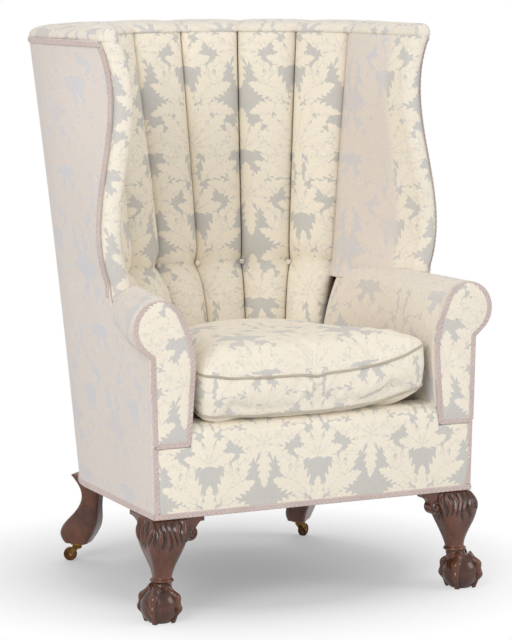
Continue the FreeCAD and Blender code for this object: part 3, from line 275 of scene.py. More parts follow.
damaskLook = {
    "cell": (0.40, 0.52), "scale": 1.7, "spread": 0.0078, "edge": 0.004, "line": (0.0035, 0.45, 0.003),
    "motif": tint(248, 239, 221), "ground": tint(208, 205, 198), "vein": tint(228, 218, 196),
    # faded colours, used for wear and for painted shade
    "wornShadedMotif": tint(231, 220, 210), "wornShadedGround": tint(216, 215, 219), "flecks": 0.75,
    "thread": 0.0011, "period": 0.0085, "veins": 0.25, "finger": (0.74, 0.30), "slant": 5.0,
    # leaves as (foot u, foot v, angle, length, half width, lobes), in groups about a middle
    "palm": [
        (0, -0.060, 90, 0.190, 0.030, 7), (0.006, -0.070, 66, 0.180, 0.028, 7),
        (0.010, -0.080, 42, 0.165, 0.029, 6), (0.012, -0.085, 18, 0.145, 0.028, 6),
        (0.012, -0.095, -10, 0.120, 0.024, 5), (0, -0.190, 90, 0.120, 0.016, 4),
    ],
    "flower": [
        (0, 0.010, 90, 0.100, 0.024, 4), (0.004, 0.005, 50, 0.110, 0.024, 5), (0.004, 0, 10, 0.110, 0.024, 5),
        (0.004, -0.005, -30, 0.105, 0.023, 5), (0, -0.010, -90, 0.130, 0.020, 5),
    ],
    "spray": [
        (0, -0.060, 90, 0.130, 0.022, 5), (0.004, -0.060, 54, 0.100, 0.020, 4),
        (0.004, -0.065, 16, 0.085, 0.018, 4),
    ],
    "scroll": [
        (-0.070, -0.060, 62, 0.150, 0.026, 6), (-0.060, -0.050, 22, 0.130, 0.025, 6),
        (-0.050, -0.070, -16, 0.120, 0.022, 5), (0.020, 0.010, 80, 0.090, 0.018, 4),
        (0.010, 0.000, 130, 0.080, 0.017, 4),
    ],
}


def leaf(u, v, footU, footV, angle, length, width, lobes):
    # a pointed leaf: |across| under half a sine along its axis, its edge cut into slanted fingers
    c, s = math.cos(math.radians(angle)), math.sin(math.radians(angle))
    x, y = u - footU, v - footV
    run = x * (c / length) + y * (s / length)
    share = run.maths("ADD", run, 0.0, clamp=True)
    across = abs(y * c - x * s)
    finger = (share * (2 * math.pi * lobes) - across * (damaskLook["slant"] * lobes / length)).sine()
    body, cut = damaskLook["finger"]
    edge = (share * math.pi).sine() * width * (body + cut * finger)
    return edge - across - abs(run - share) * length


def damaskMask(u, v, wobble):
    # leaves in groups on a mirrored half-drop lattice; also how deep a point lies in its leaf
    w, h = damaskLook["cell"]
    best = second = None
    groups = (  # name, shift in u and v, distance to either side of the mirror line
        ("palm", 0, 0, 0), ("flower", w / 2, h / 2, 0), ("spray", w / 2, 0.03, 0),
        ("spray", 0, h / 2 - 0.01, 0), ("scroll", 0, 0.145, w / 4), ("scroll", 0, -0.135, w / 4))
    for group, du, dv, aside in groups:
        cu = abs((u + du).maths("WRAP", u + du, w / 2, -w / 2)) - aside
        cv = (v + dv).maths("WRAP", v + dv, h / 2, -h / 2)
        for shape in damaskLook[group]:
            value = leaf(cu, cv, *shape)
            if best is None:
                best = value
                continue
            lower = best.least(value)
            second = lower if second is None else second.most(lower)
            best = best.most(value)
    # the best and second-best leaf are near each other along the line between two leaves
    width, strength, soft = damaskLook["line"]
    line = (best - second - width).mask(soft) * strength + (1 - strength)
    best = best + damaskLook["spread"]
    return (best + wobble).mask(damaskLook["edge"]) * line, best


def makeDamask(name):
    # figured cloth: satin figure on a duller ground, faded where the attribute is high; it holds wear, and
    # painted shade on the shadowed inside of the wings
    material, root = startMaterial(name)
    uv = root.node("ShaderNodeUVMap", {"uv_map": "cloth"})
    u, v, _ = (part * damaskLook["scale"] for part in uv.parts())
    place = root.node("ShaderNodeTexCoord", pick=3)
    wearAndShade = root.node("ShaderNodeAttribute", {"attribute_name": "wearAndShade"}, pick=2)
    patch = noise(root, place, 5.0, 3.0)
    slub = noise(root, place, 180.0, 2.0)
    coarse = noise(root, place, 70.0, 2.0)
    figure, deep = damaskMask(u, v, (slub - 0.5) * 0.006 + (coarse - 0.5) * 0.012)
    ripple = (deep * (2 * math.pi / damaskLook["period"])).sine()
    vein = (ripple - 0.35).mask(0.9) * figure * damaskLook["veins"]
    fresh = figure.mix(damaskLook["ground"], vein.mix(damaskLook["motif"], damaskLook["vein"]))
    fleck = ((1 - figure) * (patch - 0.44).mask(0.25)).mask(1.0, 0.0) * damaskLook["flecks"]
    # colours of faded cloth, used for wear and for painted shade
    wornAndShaded = fleck.mix(damaskLook["wornShadedMotif"], damaskLook["wornShadedGround"])
    colour = wearAndShade.mix(fresh, wornAndShaded)
    shade = (patch - 0.5) * 0.10 + (slub - 0.5) * 0.16 + 1.0
    colour = root.node("ShaderNodeVectorMath", {"operation": "SCALE"}, {0: colour, "Scale": shade})
    turn = 2 * math.pi / damaskLook["thread"]
    weave = ((u + v * 0.5) * turn).sine() * (0.35 + 0.65 * figure) + (v * turn).sine() * (1 - figure)
    height = weave * 0.2 + figure * 1.2 + slub * 0.6
    links = {"Base Color": colour, "Roughness": 0.62 - figure * 0.12}
    constants = {"Sheen Weight": 0.25, "Sheen Roughness": 0.4, "Specular IOR Level": 0.35}
    finishMaterial(root, constants, links, height, (0.25, 0.0006))
    return material


def makeTrim(name, base, dark, scale):
    # braid or cord: short threads, their hollows darkened as painted shade, with slow random changes of tone
    material, root = startMaterial(name)
    place = root.node("ShaderNodeTexCoord", pick=3)
    thread = noise(root, place, scale, 2.0)
    slow = noise(root, place, 14.0, 2.0)
    # painted shade where the thread bump is low, random tone from the slow noise
    colour = (thread * 0.8 + slow * 0.5 - 0.15).mask(1.0, 0.0).mix(dark, base)
    links = {"Base Color": colour, "Roughness": 0.6 + thread * 0.25}
    constants = {"Sheen Weight": 0.3, "Specular IOR Level": 0.3}
    finishMaterial(root, constants, links, thread, (0.5, 0.0008))
    return material


def makeWood(name, light, dark, deep, gloss, grain=1.0, coat=0.0):
    # grain drawn out along Z, pores, and a deep colour painted as shade where the attribute marks the carving's
    # recesses
    material, root = startMaterial(name)
    place = root.node("ShaderNodeTexCoord", pick=3)
    stretch = (60 * grain, 60 * grain, 7 * grain)
    drawn = root.node("ShaderNodeMapping", None, {"Vector": place, "Scale": stretch})
    figure = noise(root, drawn, 1.0, 4.0, 0.6)
    pores = noise(root, drawn, 6.0, 2.0)
    patch = noise(root, place, 18.0, 3.0)
    tone = (figure * 0.9 + patch * 0.7 - 0.42).mask(1.0, 0.0)
    recessShade = root.node("ShaderNodeAttribute", {"attribute_name": "recessShade"}, pick=2)
    # painted shade: the colour goes to the deep colour in the carving's recesses
    colour = recessShade.mix(tone.mix(dark, light), deep)
    rough = gloss + (pores - 0.5) * 0.25 + (patch - 0.5) * 0.2
    links = {"Base Color": colour, "Roughness": rough}
    constants = {"Coat Weight": coat, "Coat Roughness": 0.2, "Specular IOR Level": 0.5}
    finishMaterial(root, constants, links, figure + pores * 0.5, (0.12, 0.0006))
    return material


def makeMetal(name, base, tarnish, rough):
    # aged metal: tarnish in patches, worn bright elsewhere
    material, root = startMaterial(name)
    place = root.node("ShaderNodeTexCoord", pick=3)
    patch = noise(root, place, 90.0, 4.0, 0.6)
    scratch = noise(root, place, 700.0, 2.0)
    tone = ((patch - 0.42) * 2.2 + 0.3).mask(1.0, 0.0)
    uneven = rough + (scratch - 0.5) * 0.2 + (patch - 0.5) * 0.15
    links = {"Base Color": tone.mix(tarnish, base), "Roughness": uneven}
    finishMaterial(root, {"Metallic": 1.0}, links, scratch, (0.08, 0.0003))
    return material


def makePlainCloth(name, base, dark, thread):
    # plain weave: crossed threads
    material, root = startMaterial(name)
    place = root.node("ShaderNodeTexCoord", pick=3)
    x, y, z = place.parts()
    turn = 2 * math.pi / thread
    weave = (x * turn).sine() * ((y + z) * turn).sine()
    slub = noise(root, place, 120.0, 3.0)
    colour = (weave * 0.2 + slub).mask(1.2, 0.0).mix(dark, base)
    links = {"Base Color": colour, "Roughness": 0.8 + slub * 0.15}
    finishMaterial(root, {"Sheen Weight": 0.2}, links, weave, (0.3, 0.0006))
    return material


damask = makeDamask("figured damask")
braid = makeTrim("mauve braid", tint(234, 220, 213), tint(186, 162, 158), 420.0)
welt = makeTrim("welt cord", tint(222, 212, 192), tint(150, 138, 122), 700.0)
# the third colour of each wood is painted shade for carved recesses
darkWood = makeWood("carved dark wood", tint(138, 80, 50), tint(52, 24, 16), tint(22, 11, 9), 0.24, 1.0, 0.6)
beech = makeWood("frame beech", tint(205, 168, 122), tint(160, 118, 76), tint(120, 84, 52), 0.65, 0.7)
brass = makeMetal("aged brass", tint(178, 138, 72), tint(84, 58, 32), 0.38)
wheelBrass = makeMetal("worn wheel brass", tint(134, 92, 56), tint(46, 30, 22), 0.42)
steel = makeMetal("plain steel", tint(170, 168, 165), tint(110, 106, 102), 0.35)
copperWire = makeMetal("coppered wire", tint(160, 120, 98), tint(96, 76, 64), 0.4)
deckCloth = makePlainCloth("deck cloth", tint(214, 205, 186), tint(178, 168, 148), 0.0016)
blackCloth = makePlainCloth("dust cloth", tint(58, 55, 52), tint(34, 32, 30), 0.0012)
jute = makePlainCloth("jute web", tint(176, 146, 104), tint(124, 98, 66), 0.003)
print("materials made")

slotFinish = {
    "frame_wood": beech, "carved_wood": darkWood, "webbing": jute, "canvas": blackCloth,
    "spring_steel": copperWire, "deck_cloth": deckCloth, "castor_brass": brass, "castor_steel": steel,
    "castor_wheel": wheelBrass, "damask": damask, "gimp": braid, "piping": welt,
}
for part in frame["record"]["subparts"]:
    mesh = nodes[part["node"]].data
    mesh.materials.clear()
    mesh.materials.append(slotFinish[part["material_slot"]])

# the chair's main surfaces, in bench mm: X across, Y = 0 at the face of the border, Z up
hem, armLevel, crest, wingFoot = 200.0, 640.0, 1106.0, 634.0
shell = {
    "half": (335, 367, 399), "start": (350, 379, 439), "depth": (270, 294, 310), "turn": math.radians(50),
    "front": 350.0, "flare": 8.0, "neck": 515.0, "roll": 44.0,
}
tub = {
    "foot": 388.0, "button": 622.0, "radius": (240, 297, 325), "centre": (236, 234, 290),
    "step": (18.8, 18.4, 21.6), "flare": 2.2, "depth": 34.0, "recess": 9.0,
}
wingEdge = {"levels": (wingFoot, 745, 1015, crest), "x": (360, 377, 344, 369), "y": (172.0, 196.0)}


def outerPlan(z):
    # half width, corner start, corner and back radii of the three-centred arch
    half, start, depth = (through(z, (hem, armLevel, crest), shell[k]) for k in ("half", "start", "depth"))
    c, s = math.cos(shell["turn"]), math.sin(shell["turn"])
    det = (1 - c) * (1 - s) - c * s
    return half, start, depth, (half * (1 - s) - depth * c) / det, ((1 - c) * depth - s * half) / det


def arch(z, share):
    # point on the arch, share 0 at the right corner start, 1 at the left one, by arc length
    half, start, depth, corner, back = outerPlan(z)
    turn = shell["turn"]
    lenCorner, lenBack = corner * turn, back * (math.pi / 2 - turn)
    run = share * 2 * (lenCorner + lenBack)
    side = np.where(share <= 0.5, 1.0, -1.0)
    run = np.where(share <= 0.5, run, 2 * (lenCorner + lenBack) - run)
    near = run <= lenCorner
    angle = np.where(near, run / corner, turn + (run - lenCorner) / back)
    radius = np.where(near, corner, back)
    middleX = np.where(near, half - corner, 0)
    middleY = np.where(near, start, start + depth - back)
    return stack(side * (middleX + radius * np.cos(angle)), middleY + radius * np.sin(angle), z)


def wingX(z):
    return through(np.maximum(z, wingFoot), wingEdge["levels"], wingEdge["x"])


def wingY(z):
    return lerp(*wingEdge["y"], (z - wingFoot) / (crest - wingFoot))


def frontX(z):
    return shell["front"] + shell["flare"] * (z - hem) / (shell["neck"] - hem)


def seamCircle(z):
    # radius, centre and angle between seams: a bowl below the buttons, a leaning cone above them
    low = np.clip((z - tub["foot"]) / (tub["button"] - tub["foot"]), 0, 1)
    high = np.clip((z - tub["button"]) / (crest - tub["button"]), 0, 2)
    r, c, a = tub["radius"], tub["centre"], tub["step"]
    radius = r[0] + (r[1] - r[0]) * low ** tub["flare"] + (r[2] - r[1]) * high
    centre = c[0] + (c[1] - c[0]) * low + (c[2] - c[1]) * high
    step = a[0] + (a[1] - a[0]) * low + (a[2] - a[1]) * high
    return radius, centre, np.radians(step)


def polar(centre, radius, angle, z):
    return stack(radius * np.sin(angle), centre + radius * np.cos(angle), z)


# flutes of the back
flute = {
    "count": 6, "rows": 190, "across": 45, "crown": (16, 20, 13), "fullest": 864.0, "plump": (2.8, 0.6),
    "width": 0.491, "rear": 0.49, "rearCols": 9, "pinch": 5.0, "reach": 66.0,
    "tug": (15.0, 22.0), "ripple": (0.8, 37.0),  # depth and span
    "fold": (3.2, 6, 30.0, 10.0),  # depth, count, span and start
}


def fluteCrown(z):
    # swell of the middle between its stations, pinched at the buttons
    low, full, top = flute["crown"]
    swell = np.interp(z, (tub["foot"], tub["button"], flute["fullest"], crest), (low, low, full, top))
    pinch = np.clip(1 - np.abs(z - tub["button"]) / flute["reach"], 0, 1) ** 2
    return swell - (swell - flute["pinch"]) * pinch


def fluteShape(t):
    # plump across: 1 in the middle, falling steeply at the seams
    steep, blunt = flute["plump"]
    return np.clip(1 - np.abs(t) ** steep, 0, 1) ** blunt


def fluteFront(index, z, t):
    # front of one flute: seam circle less the crown, tugged in at the buttons, with folds out from them
    radius, centre, step = seamCircle(z)
    angle = (index - flute["count"] / 2 + 0.5 + t * flute["width"]) * step
    depth = radius + tub["recess"] - (fluteCrown(z) + tub["recess"]) * fluteShape(t)
    dz = z - tub["button"]
    tug, tugSpan = flute["tug"]
    fold, folds, foldSpan, foldStart = flute["fold"]
    for side in (-1, 1):
        dx = (side - t) * side * step / 2 * radius
        away = np.hypot(dx, dz)
        around = np.arctan2(dz, dx)
        depth = depth + tug * np.exp(-(away / tugSpan) ** 2)
        crease = np.cos(folds * around + 0.8 * index) * np.exp(-away / foldSpan)
        depth = depth + fold * crease * np.clip(away / foldStart, 0, 1)
    height, length = flute["ripple"]
    depth = depth + height * np.sin(z / length + 2.1 * index) * (1 - t ** 2)
    return polar(centre, depth, angle, z), angle * radius


heights = np.linspace(tub["foot"], crest - 1, flute["rows"])[:, None]
radius, centre, step = seamCircle(heights)
t = np.linspace(-1, 1, flute["across"])[None, :]
backT = np.linspace(1, -1, flute["rearCols"])[None, :] * flute["rear"]
for index in range(flute["count"]):
    front, run = fluteFront(index, heights, t)
    back = (index - flute["count"] / 2 + 0.5 + backT) * step
    rear = polar(centre, radius + tub["depth"], back, heights)
    loop = np.concatenate([front, rear], 1)
    u = np.concatenate([run / 1000, np.repeat(run[:, -1:] / 1000, rear.shape[1], 1)], 1)
    mesh = gridMesh("flute_%d" % (index + 1), loop, clothUv(loop, True, u), True, True)
    cleanUp(mesh)
    piece = newObject("flute_%d" % (index + 1), mesh)
    dress(piece, "chair", "damask", damask, "back_flute_%d" % (index + 1))
print("flutes made")

# covered buttons in the pinch
button = {
    "radius": 5.8, "rise": 4.0, "sunk": 9.5, "rings": 10, "around": 28, "pleats": (0.35, 7), "close": 0.995,
}
share = np.linspace(0, 1, button["rings"])[:, None]
spin = np.linspace(0, 2 * np.pi, button["around"], endpoint=False)[None, :]
ringRadius = button["radius"] * np.cos(share * np.pi / 2 * button["close"])
pleat = button["pleats"][0] * np.cos(button["pleats"][1] * spin)
ringRise = button["rise"] * np.sin(share * np.pi / 2) + pleat * (1 - share)
radius, centre, step = (float(v) for v in seamCircle(np.array(tub["button"])))
buttonMeshes = []
for index in range(flute["count"] + 1):
    angle = (index - flute["count"] / 2) * step
    inward = np.array([-math.sin(angle), -math.cos(angle), 0])
    across = np.array([math.cos(angle), -math.sin(angle), 0])
    seat = polar(centre, radius, angle, tub["button"]) - inward * button["sunk"]
    points = seat + ringRise[..., None] * inward + (ringRadius * np.cos(spin))[..., None] * across
    points = points + (ringRadius * np.sin(spin))[..., None] * np.array([0, 0, 1])
    buttonMeshes.append(gridMesh("button", points, clothUv(points, True, angle * radius / 1000), True, True))
piece = newObject("covered_buttons", joined("covered_buttons", buttonMeshes))
dress(piece, "chair", "damask", damask, "tuft_buttons")

# wings: roll round the edge and pad back to the last seam
wing = {
    "rows": 140, "cols": (36, 25, 8), "thick": 24.0, "reach": 70.0, "swell": 9.0, "fold": 5.0, "bulge": 3.0,
    "root": 36.0, "bow": 0.8, "seamGap": 4.0, "sideGap": 1.2, "skinGap": 6.0, "startU": 0.30,
    "wearAndShade": (0.92, 0.12, 0.15), "wearShadeTo": (0.74, 0.84),  # wear and painted shade for the inside, rim and rest; where the shaded inside ends
}
heights = np.linspace(wingFoot - wing["root"], crest - 1, wing["rows"])[:, None]
nose = shell["roll"] / 3
radius, centre, step = seamCircle(heights)
last = flute["count"] / 2 * step + wing["sideGap"] / radius
seam = polar(centre, radius + wing["seamGap"], last, heights)
edgeX, edgeY = wingX(heights), wingY(heights)
inner = stack(edgeX - shell["roll"], edgeY + nose, heights)
t = np.linspace(0, 1, wing["cols"][0])[None, :]
span = lerp(seam, inner, t[..., None])
fold = wing["fold"] * smooth(t, 0, 0.1) * (1 - smooth(t, 0.1, 1.0))
span[..., 0] -= wing["swell"] * 4 * t * (1 - t) + fold
span[..., 1] -= wing["bulge"] * np.sin(np.pi * t)
turn = np.linspace(math.pi, 0, wing["cols"][1])[None, 1:]
hub, reach = edgeX - shell["roll"] / 2 - 2, shell["roll"] / 2 - 3
rollX = hub + reach * np.cos(turn) - 1.0 * (np.cos(turn) < 0)
rollFront = stack(rollX, edgeY + nose - nose * np.sin(turn), heights)
half, start = outerPlan(heights)[:2]
backY = edgeY + wing["reach"]
outside = edgeX + (half - edgeX) * (backY - edgeY - nose) / (start - edgeY - nose) - wing["skinGap"]
share = np.linspace(0.15, 1, wing["cols"][2])[None, :, None]
outerEdge = lerp(rollFront[:, -1:], stack(outside, backY, heights), share)
innerBack = lerp(inner, seam, 0.3) + np.array([wing["thick"], 0, 0])
seamBack = polar(centre, radius + wing["thick"] + wing["seamGap"], last, heights)
loop = np.concatenate([span, rollFront, outerEdge, innerBack, seamBack], 1)
lengthU = runLength(loop, 1)
lengthU = lengthU - lengthU[:, :1] + wing["startU"]
# the inside of the wing lies in shadow, so its high value is painted shade as well as wear
inWearShade, rimWearShade, restWearShade = wing["wearAndShade"]
spanWearShade = lerp(inWearShade, rimWearShade, smooth(t, *wing["wearShadeTo"]))
wingWearShade = np.concatenate([spanWearShade, np.full((1, loop.shape[1] - span.shape[1]), restWearShade)], 1)
for side, sign in sides:
    shape = loop if sign > 0 else flip(loop)
    mesh = gridMesh("wing_" + side, shape, clothUv(shape, True, lengthU), True, True, wearAndShade=wingWearShade)
    cleanUp(mesh)
    piece = newObject("wing_" + side, mesh)
    dress(piece, "chair", "damask", damask, "wing_pad_" + side)

# top roll: P(s, w), s along the horseshoe, w over it from the outside to the inside
topRoll = {
    "over": 22, "rise": 25.0, "floor": crest - 1, "full": 40.0, "round": 0.75, "scallop": 0.22, "recess": 5.0,
    "cols": (14, 40, 157), "startV": 1.1, "wearAndShade": 0.35, "weld": 2e-5,
}
noseTurn = np.linspace(0, math.pi / 2, topRoll["cols"][0])
edgeX, edgeY = float(wingX(crest)), float(wingY(crest))
hub, reach = edgeX - shell["roll"] / 2, shell["roll"] / 2
outerNose = stack(hub + reach * np.sin(noseTurn), edgeY + nose - nose * np.cos(noseTurn), crest)
innerNose = stack(hub - reach * np.sin(noseTurn), edgeY + nose - nose * np.cos(noseTurn), crest)
radius, centre, step = (float(v) for v in seamCircle(np.array(crest)))
endAngle = flute["count"] / 2 * step
seamTop = polar(centre, radius, endAngle, crest)
half, start = outerPlan(crest)[:2]
sideShare = np.linspace(0, 1, topRoll["cols"][1])[1:, None]
outerSide = lerp(outerNose[-1], np.array([half, start, crest]), sideShare)
innerSide = lerp(innerNose[-1], seamTop, sideShare)
innerSide[:, 0] -= wing["swell"] * 4 * sideShare[:, 0] * (1 - sideShare[:, 0])
backShare = np.linspace(0, 1, topRoll["cols"][2])[1:-1]
outerBack = arch(np.full_like(backShare, crest), backShare)
innerAngle = lerp(endAngle, -endAngle, backShare)
slot = np.abs((innerAngle / step) % 1 - 0.5) * 2
plump = (flute["crown"][2] + topRoll["recess"]) * fluteShape(slot)
innerBack = polar(centre, radius + topRoll["recess"] - plump, innerAngle, crest)
sideOuter = np.concatenate([outerNose, outerSide])
sideInner = np.concatenate([innerNose, innerSide])
outerLine = np.concatenate([sideOuter, outerBack, flip(sideOuter)[::-1]])
innerLine = np.concatenate([sideInner, innerBack, flip(sideInner)[::-1]])
scallop = np.concatenate([np.ones(len(sideOuter)), fluteShape(slot), np.ones(len(sideOuter))])[:, None]
wide = np.linalg.norm(outerLine - innerLine, axis=1)[:, None]
over = np.linspace(0, 1, topRoll["over"])[None, :]
bend = 0.5 - 0.5 * np.cos(over * math.pi)
dome = np.sin(np.arccos(np.clip(1 - 2 * bend, -1, 1))) ** topRoll["round"]
points = lerp(outerLine[:, None], innerLine[:, None], bend[..., None])
dip = 1 - topRoll["scallop"] * (1 - scallop) * smooth(over, 0.1, 0.6)
height = topRoll["rise"] * np.minimum(1, wide / topRoll["full"]) * dome * dip
points[..., 2] = topRoll["floor"] + height
under = lerp(innerLine[:, None], outerLine[:, None], np.linspace(0.1, 0.9, 6)[None, :, None])
under[..., 2] = topRoll["floor"] - 1
loop = np.concatenate([points, under], 1)
along = runLength(0.5 * (outerLine + innerLine)[None], 1)[0][:, None]
uv = clothUv(loop, True, along, topRoll["startV"] + runLength(loop, 1))
mesh = gridMesh("top_roll", loop, uv, True, wearAndShade=topRoll["wearAndShade"])
cleanUp(mesh, topRoll["weld"])
piece = newObject("crest_roll", mesh)
dress(piece, "chair", "damask", damask, "top_roll")
print("wings and crest made")

# arms: a roll with the inside of the arm below it, narrowing to the back
arm = {
    "y": (8.5, 172, 371), "x": (339, 313, 282), "top": (624, 628, 632), "radius": (55, 48, 40),
    "waist": (264, 256, 207), "foot": (273, 256, 207), "waistZ": 470.0, "toeZ": 345.0, "thick": 38.0,
    "turn": (165, -66), "bow": 24.0, "tuck": 0.91, "rows": 110, "cols": (12, 16, 44, 8),
    "ripple": (0.7, 23.0, 150.0, 90.0),  # height, wave, middle and spread
    "startU": 0.1, "wearAndShade": (0.55, 0.9),
}
ys = np.linspace(arm["y"][0], arm["y"][2], arm["rows"])[:, None]
stations = ("x", "top", "radius", "waist", "foot")
midX, top, rad, waistX, footX = (through(ys, arm["y"], arm[k]) for k in stations)
hubZ = top - rad
inSide, underSide = np.radians(arm["turn"])
shoulderX, shoulderZ = midX + rad * math.cos(inSide), hubZ + rad * math.sin(inSide)
t = np.linspace(0, 1, arm["cols"][0])[None, :]
lower = stack(lerp(footX, waistX, t), ys, lerp(arm["toeZ"], arm["waistZ"], t))
t = np.linspace(0, 1, arm["cols"][1])[None, 1:]
bow = stack(lerp(waistX, shoulderX, t) - arm["bow"] * t * (1 - t), ys, lerp(arm["waistZ"], shoulderZ, t))
angle = np.linspace(inSide, underSide, arm["cols"][2])[None, 1:]
high, wave, spot, spread = arm["ripple"]
ripple = high * np.sin(ys / wave + 3 * angle) * np.exp(-((ys - spot) / spread) ** 2)
rolled = stack(midX + (rad + ripple) * np.cos(angle), ys, hubZ + (rad + ripple) * np.sin(angle))
underX = midX + rad * math.cos(underSide)
t = np.linspace(0, 1, arm["cols"][3])[None, 1:]
inside = stack(lerp(underX, waistX + arm["thick"], t), ys, hubZ + rad * math.sin(underSide))
shaftX = lerp(waistX, footX, t) + arm["thick"]
shaft = stack(shaftX, ys, lerp(hubZ - rad * arm["tuck"], arm["toeZ"], t))
loop = np.concatenate([lower, bow, rolled, inside, shaft], 1)
armV = runLength(loop, 1)
inWearShade, outWorn = arm["wearAndShade"]
below, behind = lower.shape[1] + bow.shape[1], inside.shape[1] + shaft.shape[1]
rollWorn = np.linspace(inWearShade, outWorn, rolled.shape[1])
armWorn = np.concatenate([np.full(below, inWearShade), rollWorn, np.full(behind, outWorn)])[None, :]
for side, sign in sides:
    shape = loop if sign > 0 else flip(loop)
    uv = clothUv(shape, True, ys / 1000 + arm["startU"], armV)
    mesh = gridMesh("arm_" + side, shape, uv, True, True, wearAndShade=armWorn)
    cleanUp(mesh)
    piece = newObject("arm_" + side, mesh)
    dress(piece, "chair", "damask", damask, "arm_pad_" + side)


# facings: the arm's scroll, domed from its outline to a spine
facing = {
    "foot": 338.0, "rim": -1.0, "dome": 6.0, "shoulder": 34.0, "footRoom": 40.0, "turn": (-50, 165),
    "bow": 8.0, "inset": 0.5, "rows": 70, "cols": 31, "wall": 0.008, "middle": 311.0, "startU": 0.14,
    "wearAndShade": 0.1,
}


def scrollLine(inset, foot, count=220):
    # outline of the scroll in (x, z): up the outside, round the roll, down the inside, along the foot
    r = arm["radius"][0] - inset
    a = np.radians(np.linspace(*facing["turn"], 90))
    rollX, rollZ = arm["x"][0] + r * np.cos(a), arm["top"][0] - arm["radius"][0] + r * np.sin(a)
    t = np.linspace(0, 1, 24)[1:-1]
    heel = np.array([frontX(foot) - inset, foot])
    neck = np.array([frontX(shell["neck"]) - inset, shell["neck"]])
    waist, toe = np.array([arm["waist"][0] + inset, arm["waistZ"]]), np.array([arm["foot"][0] + inset, foot])
    first, last = np.array([rollX[0], rollZ[0]]), np.array([rollX[-1], rollZ[-1]])
    up = np.concatenate([lerp(heel, neck, t[:, None]), lerp(neck, first, np.linspace(0, 1, 8)[:-1, None])])
    down = lerp(last, waist, t[:, None])
    down[:, 0] -= 4 * facing["bow"] * t * (1 - t)
    line = np.concatenate([
        heel[None], up, np.stack([rollX, rollZ], 1), down, lerp(waist, toe, np.linspace(0, 1, 24)[:-1, None]),
        lerp(toe, heel, np.linspace(0, 1, 14)[:, None])])
    reach = pathLength(line)
    return sampled(line, reach, np.linspace(0, reach[-1], count, endpoint=False))


outline = scrollLine(facing["inset"], facing["foot"], 900)
rowShare = np.sin(np.linspace(0, 1, facing["rows"]) * math.pi / 2)
rowZ = lerp(facing["foot"] + 0.2, outline[:, 1].max() - 0.05, rowShare)
top = int(outline[:, 1].argmax())
outerLine, innerLine = outline[:top + 1], outline[top:]
innerLine = innerLine[innerLine[:, 1] > facing["foot"] + 0.1]
outerX = np.interp(rowZ, outerLine[:, 1], outerLine[:, 0])
innerX = np.interp(rowZ, innerLine[::-1, 1], innerLine[::-1, 0])
w = np.sin(np.linspace(-1, 1, facing["cols"]) * math.pi / 2)[None, :]
across = lerp(innerX[:, None], outerX[:, None], 0.5 + 0.5 * w)
sideRoom = np.minimum(outerX[:, None] - across, across - innerX[:, None])
room = np.minimum(sideRoom, np.minimum(rowZ - facing["foot"], facing["footRoom"])[:, None])
depth = facing["rim"] - facing["dome"] * (1 - (1 - np.clip(room / facing["shoulder"], 0, 1)) ** 2)
loop = stack(across, depth, rowZ[:, None])
for side, sign in sides:
    shape = loop if sign > 0 else flip(loop)
    uv = clothUv(shape, False, (loop[..., 0] - facing["middle"]) / 1000 + facing["startU"])
    mesh = gridMesh("facing_" + side, shape, uv, wearAndShade=facing["wearAndShade"])
    if sign < 0:
        mesh.flip_normals()
    piece = newObject("facing_" + side, mesh)
    wall = piece.modifiers.new("thickness", "SOLIDIFY")
    wall.thickness, wall.offset = facing["wall"], -1
    dress(piece, "chair", "damask", damask, "arm_facing_" + side)
print("arms made")

# front border: flat over the rail, a stuffed roll along its top between the arms
border = {
    "top": 380.0, "roll": 27.0, "depth": 70.0, "half": 349.5, "inner": 273.0, "puff": 5.0, "ease": 40.0,
    "wave": (0.8, 31.0, 40.0), "wall": 0.004, "startV": 0.02, "wearAndShade": 0.05,
}
lineX = np.linspace(-border["half"], border["half"], 141)
xs = np.unique(np.concatenate([lineX, [-border["inner"], border["inner"]]]))[None, :]
low = np.linspace(hem, facing["foot"] - 0.5, 30)
high = np.linspace(facing["foot"] + 4, border["top"] - border["roll"], 6)
a = np.linspace(0, math.pi / 2, 14)[1:]
inward = np.linspace(border["roll"], border["depth"], 7)[1:]
rollZ = border["top"] - border["roll"] * (1 - np.sin(a))
profileZ = np.concatenate([low, high, rollZ, np.full(len(inward), border["top"])])
profileY = np.concatenate([np.zeros(len(low) + len(high)), border["roll"] * (1 - np.cos(a)), inward])
tall = border["top"] - hem
puff = border["puff"] * np.sin(np.clip((profileZ - hem) / tall, 0, 1) * math.pi) ** 0.7
flatIn = np.clip((border["half"] - np.abs(xs)) / border["ease"], 0, 1) ** 0.6
yy = profileY[:, None] - puff[:, None] * flatIn * (profileY[:, None] < 20)
waveHigh, waveX, waveZ = border["wave"]
wave = waveHigh * np.sin(xs / waveX + profileZ[:, None] / waveZ)
yy = yy + wave * np.sin(np.pi * (profileZ[:, None] - hem) / tall) ** 2
points = stack(xs, yy, profileZ[:, None])
midX = 0.5 * (xs[:, 1:] + xs[:, :-1])
inArms = np.broadcast_to(np.abs(midX) < border["inner"], (len(profileZ) - 1, midX.shape[1]))
keepFace = inArms | np.broadcast_to(profileZ[1:, None] <= facing["foot"], inArms.shape)
borderV = pathLength(np.stack([profileY, profileZ], 1))[:, None] / 1000
uv = clothUv(points, False, xs / 1000, borderV + border["startV"])
mesh = gridMesh("front_border", points, uv, keepFace=keepFace, wearAndShade=border["wearAndShade"])
piece = newObject("border_front", mesh)
wall = piece.modifiers.new("thickness", "SOLIDIFY")
wall.thickness, wall.offset = border["wall"], -1
dress(piece, "chair", "damask", damask, "front_border")

